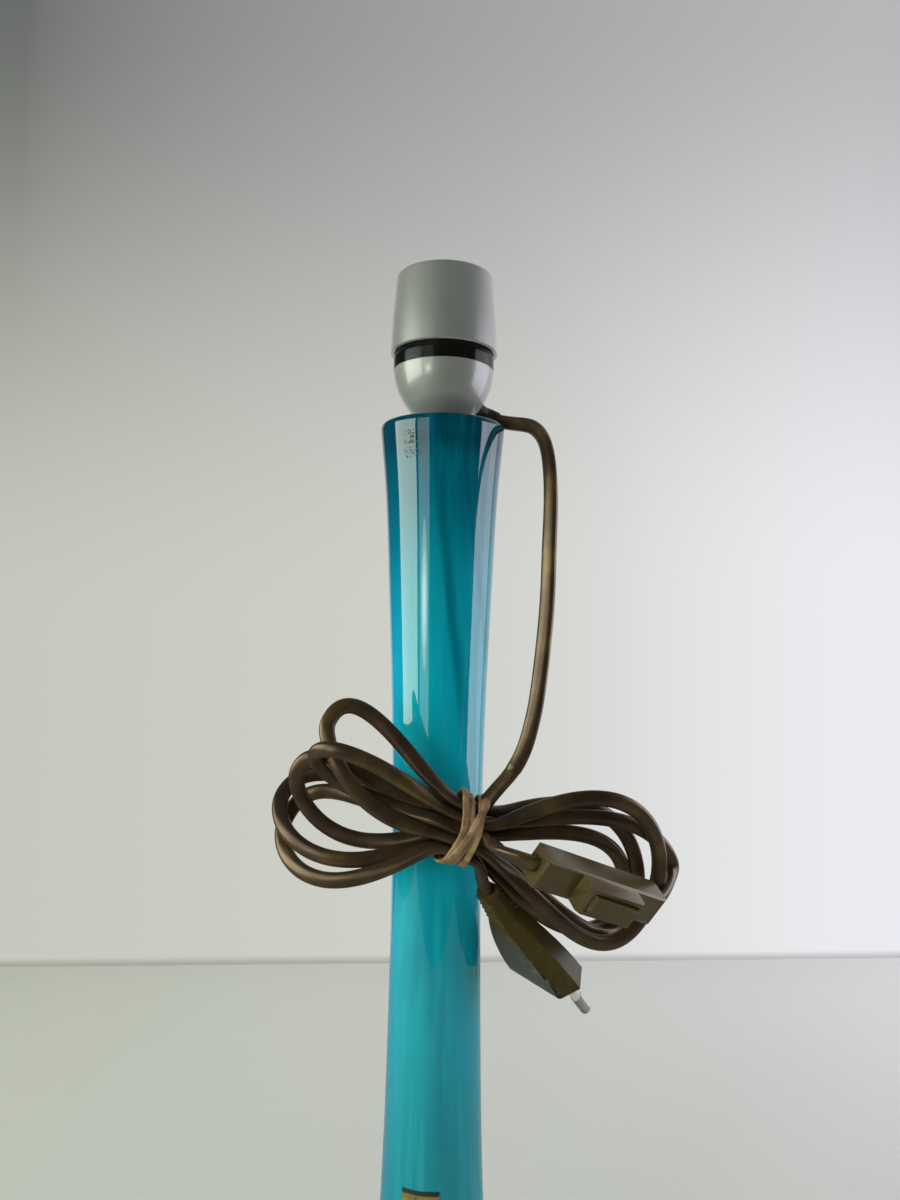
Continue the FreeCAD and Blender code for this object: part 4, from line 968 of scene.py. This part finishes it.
def make_dome():
    """Dome with a hole for the nipple, open at its top."""
    top = dome_bottom + dome_height
    outer = dome_arc(dome_curve_radius, dome_bottom + dome_foot_rise, top - sharp_edge)
    inner = dome_arc(dome_curve_radius - dome_wall, dome_bottom + dome_wall, top)
    outline = [(dome_hole, dome_bottom), (outer[0][0] - dome_foot_inset, dome_bottom)] + outer
    outline += [(outer[-1][0] - sharp_edge, top)] + inner[::-1]
    outline += [(dome_hole, dome_bottom + dome_wall)]
    return smooth(lathe("holder_dome_shell", outline), 40)


def make_sleeve():
    """Sleeve with a rounded shoulder and an open top, from its lip up."""
    outer = [(radius, lip_height + height) for radius, height in spline_through(sleeve_side)]
    top = lip_height + sleeve_height
    high_radius, high = outer[-1]
    rounding = top - high
    corner = [(high_radius - sleeve_corner * (1 - math.cos(a)), high + rounding * math.sin(a))
              for a in corner_angles]
    inner = [point for point in moved_in(outer, sleeve_wall) if point[1] > lip_height + sleeve_lip_clear]
    lip = [(sleeve_lip_inside, lip_height + sleeve_lip_depth),
           (sleeve_lip_inside, lip_height + sharp_edge), (sleeve_lip_inside + sharp_edge, lip_height),
           (outer[0][0] - sharp_edge, lip_height), (outer[0][0], lip_height + sharp_edge)]
    mouth = [(high_radius - sleeve_corner - sleeve_top_inset, top), (sleeve_mouth + mouth_edge, top),
             (sleeve_mouth, top - mouth_edge), (sleeve_mouth, top - sleeve_wall)]
    outline = lip + outer[1:] + corner + mouth + inner[::-1]
    return smooth(lathe("holder_sleeve_shell", outline), 40)


grey_dome = moulded("grey_dome", (112, 115, 110), (120, 122, 118), 0.36, 0.03,
                    Specular_IOR_Level=1.0, Coat_Weight=0.6, Coat_Roughness=0.09, Sheen_Weight=0.5,
                    Sheen_Roughness=0.5)
grey_sleeve = moulded("grey_sleeve", (106, 109, 105), (114, 116, 113), 0.40, 0.03,
                      Specular_IOR_Level=1.0, Coat_Weight=1.0, Coat_Roughness=0.24, Coat_IOR=2.0,
                      Sheen_Weight=0.55, Sheen_Roughness=0.5)
brown_plastic = moulded("brown_plastic", (80, 65, 30), (96, 84, 54), 0.26, 0.06, grain=0.0006,
                        lift=0.000004, Metallic=0.4, Coat_Weight=0.3, Coat_Roughness=0.16)
relief_plastic = moulded("relief_plastic", (50, 42, 26), (66, 56, 38), 0.5, 0.1, Specular_IOR_Level=0.25)
plug_plastic = scuffed_plug()

piece("holder_dome_shell", make_dome(), "lamp", grey_dome, ("holder_dome",))
piece("holder_sleeve_shell", make_sleeve(), "sleeve", grey_sleeve, ("holder_sleeve",))
softened("switch_cover", case_edge, "lamp", brown_plastic)
softened("switch_base", case_edge, "lamp", brown_plastic)
softened("switch_rocker", rocker_edge, "rocker", brown_plastic)
softened("plug_body", plug_edge, "lamp", plug_plastic, (plug_face, plug_way), plug_corner)
piece("cord_relief", make_relief(), "lamp", relief_plastic, ("cord_gland",))

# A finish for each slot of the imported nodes
finishes = {"black_collar": moulded("black_plastic", (16, 16, 14), (50, 50, 48), 0.12, 0.2,
                                    Specular_IOR_Level=0.15),
            "black_rubber": moulded("stopper_rubber", (20, 22, 24), (48, 50, 52), 0.6),
            "white_block": moulded("white_ceramic", (214, 210, 198), (190, 184, 170), 0.4),
            "core_insulation": moulded("core_insulation", (70, 96, 150), (84, 108, 156), 0.4),
            "pale_sleeve": moulded("pin_sleeve", (206, 204, 196), (176, 172, 160), 0.4),
            "zinc_steel": metal("zinc_steel", (176, 178, 178), (130, 130, 126), 0.32),
            "brass_contact": metal("brass_contact", (206, 168, 92), (140, 108, 60), 0.28),
            "nickel_pins": metal("nickel_pin", (200, 198, 192), (150, 146, 138), 0.22),
            "dark_felt": felt(), "gold_foil": label_foil(), "brown_cord": sheath,
            "grey_shell": grey_dome, "grey_sleeve": grey_sleeve, "brown_plastic": brown_plastic,
            "tan_rubber": tan_rubber, "teal_glass": glass}
for part in frame["record"]["subparts"]:
    dress(frame["nodes"][part["node"]].data, finishes[part["material_slot"]])


# Camera

camera_place = (0.0036, -0.335, 0.29449)
camera_pitch = math.radians(3.5)
camera_roll = math.radians(0.8)
sensor_width = 36
lens = 27


def make_camera():
    """Camera looking along +Y, pitched up and rolled a little."""
    data = bpy.data.cameras.new("camera")
    data.sensor_width = sensor_width
    data.lens = lens
    data.clip_start = 0.01
    data.clip_end = 20
    made = add_object("camera", data)
    forward = Vector((0, math.cos(camera_pitch), math.sin(camera_pitch)))
    level_right = Vector((1, 0, 0))
    level_up = Vector((0, -math.sin(camera_pitch), math.cos(camera_pitch)))
    right = level_right * math.cos(camera_roll) + level_up * math.sin(camera_roll)
    up = level_up * math.cos(camera_roll) - level_right * math.sin(camera_roll)
    turned = Matrix((right, up, -forward)).transposed().to_4x4()
    made.matrix_world = Matrix.Translation(camera_place) @ turned
    bpy.context.scene.camera = made


make_camera()


# Stage and light

# Ends of the line where the wall meets the floor
wall_left = Vector((-0.409, 0.519, 0))
wall_right = Vector((0.456, 0.580, 0))
# The edges of table and wall, past which the room is dark to what mirrors it
table_left = -0.79
table_right = 0.60
table_front = -0.59
backdrop_left = -0.36
edge_blur = 0.01
stage_reach = 3
light_aim = Vector((0, 0, 0.30))


def backdrop_finish():
    """Plain matt wall; the camera, and what mirrors it, see it shaded as in the studio."""
    paint = Paint("backdrop_matt", Base_Color=colour(214, 216, 212), Roughness=0.9)
    height = paint.along("Z")
    side = paint.along("X")
    even = paint.node("ShaderNodeMapRange", values={"Value": side, "From Min": -0.42, "From Max": 0.42})
    low = paint.mix(even * 0.45 + paint.step(even, 0.48, 1.0) * 0.55, colour(198, 200, 189),
                    colour(236, 236, 240))
    high = paint.mix(even ** 0.65, colour(106, 109, 106), colour(183, 182, 185))
    rise = height - paint.step(side, -0.41, 0.43) * 0.05
    shade = paint.mix(paint.step(rise, 0.31, 0.96), low, high)
    # Painted shade: the wall darkens toward its foot, in the corner where it meets the floor.
    seam = paint.mix((1 - paint.step(height, 0.0004, 0.0090)) * 0.42, shade, colour(90, 92, 88))
    beyond = 1 - paint.step(side, backdrop_left - 2 * edge_blur, backdrop_left)
    shade = paint.mix(paint.ray("Is Glossy Ray") * beyond, seam, colour(46, 50, 52))
    glow = paint.node("ShaderNodeEmission", values={"Color": shade})
    seen = paint.ray("Is Camera Ray") + paint.ray("Is Glossy Ray") + paint.ray("Is Transmission Ray")
    matt = Socket(paint, paint.shader.outputs[0])
    both = paint.node("ShaderNodeMixShader", values={0: seen, 1: matt, 2: glow})
    paint.tree.links.new(both.output, paint.tree.nodes["Material Output"].inputs["Surface"])
    return paint.material


def floor_finish():
    """Pale matt table top, painted lighter to the right and darker toward the front as light and shade,
    and painted darker, darkest beyond its edges, for what mirrors it.
    """
    paint = Paint("floor_matt", Roughness=0.8, Specular_IOR_Level=0.2)
    side = paint.along("X")
    front = paint.along("Y")
    # Painted light and shade: lighter to the right, darker toward the front.
    top = paint.ramp(side + 0.5, (0.1, 186, 187, 178), (0.4, 202, 202, 197), (0.6, 207, 206, 204),
                     (0.95, 218, 216, 217))
    top = paint.mix((1 - paint.step(front, 0.12, 0.52)) * 0.35, top, colour(168, 170, 164))
    # Painted reflection: what mirrors the floor sees it darker, and darkest beyond the table's edges.
    beyond = 1 - paint.step(side, table_left - edge_blur, table_left)
    beyond = beyond + paint.step(side, table_right, table_right + edge_blur)
    beyond = beyond + (1 - paint.step(front, table_front - edge_blur, table_front))
    top = paint.mix((beyond + 0.4) * paint.ray("Is Glossy Ray"), top, colour(30, 32, 34))
    return paint.shade("Base Color", top).material


def make_stage():
    """Floor and wall, wide enough to fill every view."""
    way = (wall_right - wall_left).normalized()
    left = wall_left - way * stage_reach
    right = wall_right + way * stage_reach
    floor = [(left.x, -stage_reach, 0), (right.x, -stage_reach, 0), right, left]
    wall = [left, right, (right.x, right.y, stage_reach), (left.x, left.y, stage_reach)]
    for name, corners, finish in (("floor", floor, floor_finish), ("wall", wall, backdrop_finish)):
        mesh = mesh_from(name, corners, [(0, 1, 2, 3)])
        dress(mesh, finish())
        made = add_object(name, mesh)


def panel(name, azimuth, height, width, tall, glow, tint, distance=1.0, mirrored=True,
          shape="RECTANGLE"):
    """Soft panel light of a given radiance; azimuth 0 is behind the camera and 90 to the right."""
    data = bpy.data.lights.new(name, "AREA")
    data.shape = shape
    data.size = width
    data.size_y = tall
    data.energy = glow * math.pi * width * tall
    data.color = tint
    made = add_object(name, data)
    made.visible_glossy = mirrored
    angle = math.radians(azimuth)
    made.location = (distance * math.sin(angle), -distance * math.cos(angle), height)
    aim = light_aim - made.location
    made.rotation_euler = aim.to_track_quat("-Z", "Y").to_euler()


def make_sky():
    """Even pale light all round; what mirrors it sees the room darken behind the camera."""
    world = bpy.data.worlds.new("studio")
    bpy.context.scene.world = world
    sky = Paint("studio", world=world, Strength=0.3)
    way = sky.node("ShaderNodeTexCoord", output="Generated")
    toward_wall = sky.node("ShaderNodeSeparateXYZ", values={"Vector": way}, output="Y")
    room = sky.ramp(toward_wall * 0.5 + 0.5, (0.15, 30, 34, 38), (0.5, 96, 100, 104),
                    (0.75, 190, 194, 196))
    sky.shade("Color", sky.mix(sky.ray("Is Glossy Ray"), colour(232, 234, 232), room))


make_stage()
panel("left_panel", -73.3, 0.445, 0.837, 0.61, 6.3, (0.93, 1.0, 0.85))
panel("left_strip", -35, 0.43, 0.39, 0.64, 2.2, (0.95, 1.0, 0.96))
for step in range(3):
    panel("left_glint_%d" % step, -35, 0.292, 0.26 - 0.08 * step, 0.20 - 0.06 * step, 2.6,
          (1.0, 1.0, 0.95), distance=1.0 - 0.02 * step, shape="ELLIPSE")
for step in range(4):
    panel("right_panel_%d" % step, 82 + 12 * step, 0.39, 0.2102, 0.72, 4.5 - 0.9 * step,
          (0.90, 0.91, 1.0))
panel("right_edge_panel", 138, 0.39, 0.40, 0.72, 1.7, (0.94, 0.94, 1.0))
panel("top_fill", 90, 1.6, 1.2, 1.2, 1.2, (0.95, 0.94, 1.0), distance=0.3, mirrored=False)
panel("front_fill", 8, 0.75, 1.4, 1.0, 0.5, (1.0, 1.0, 1.0), distance=1.6, mirrored=False)
make_sky()
bpy.context.scene.view_settings.view_transform = "Standard"
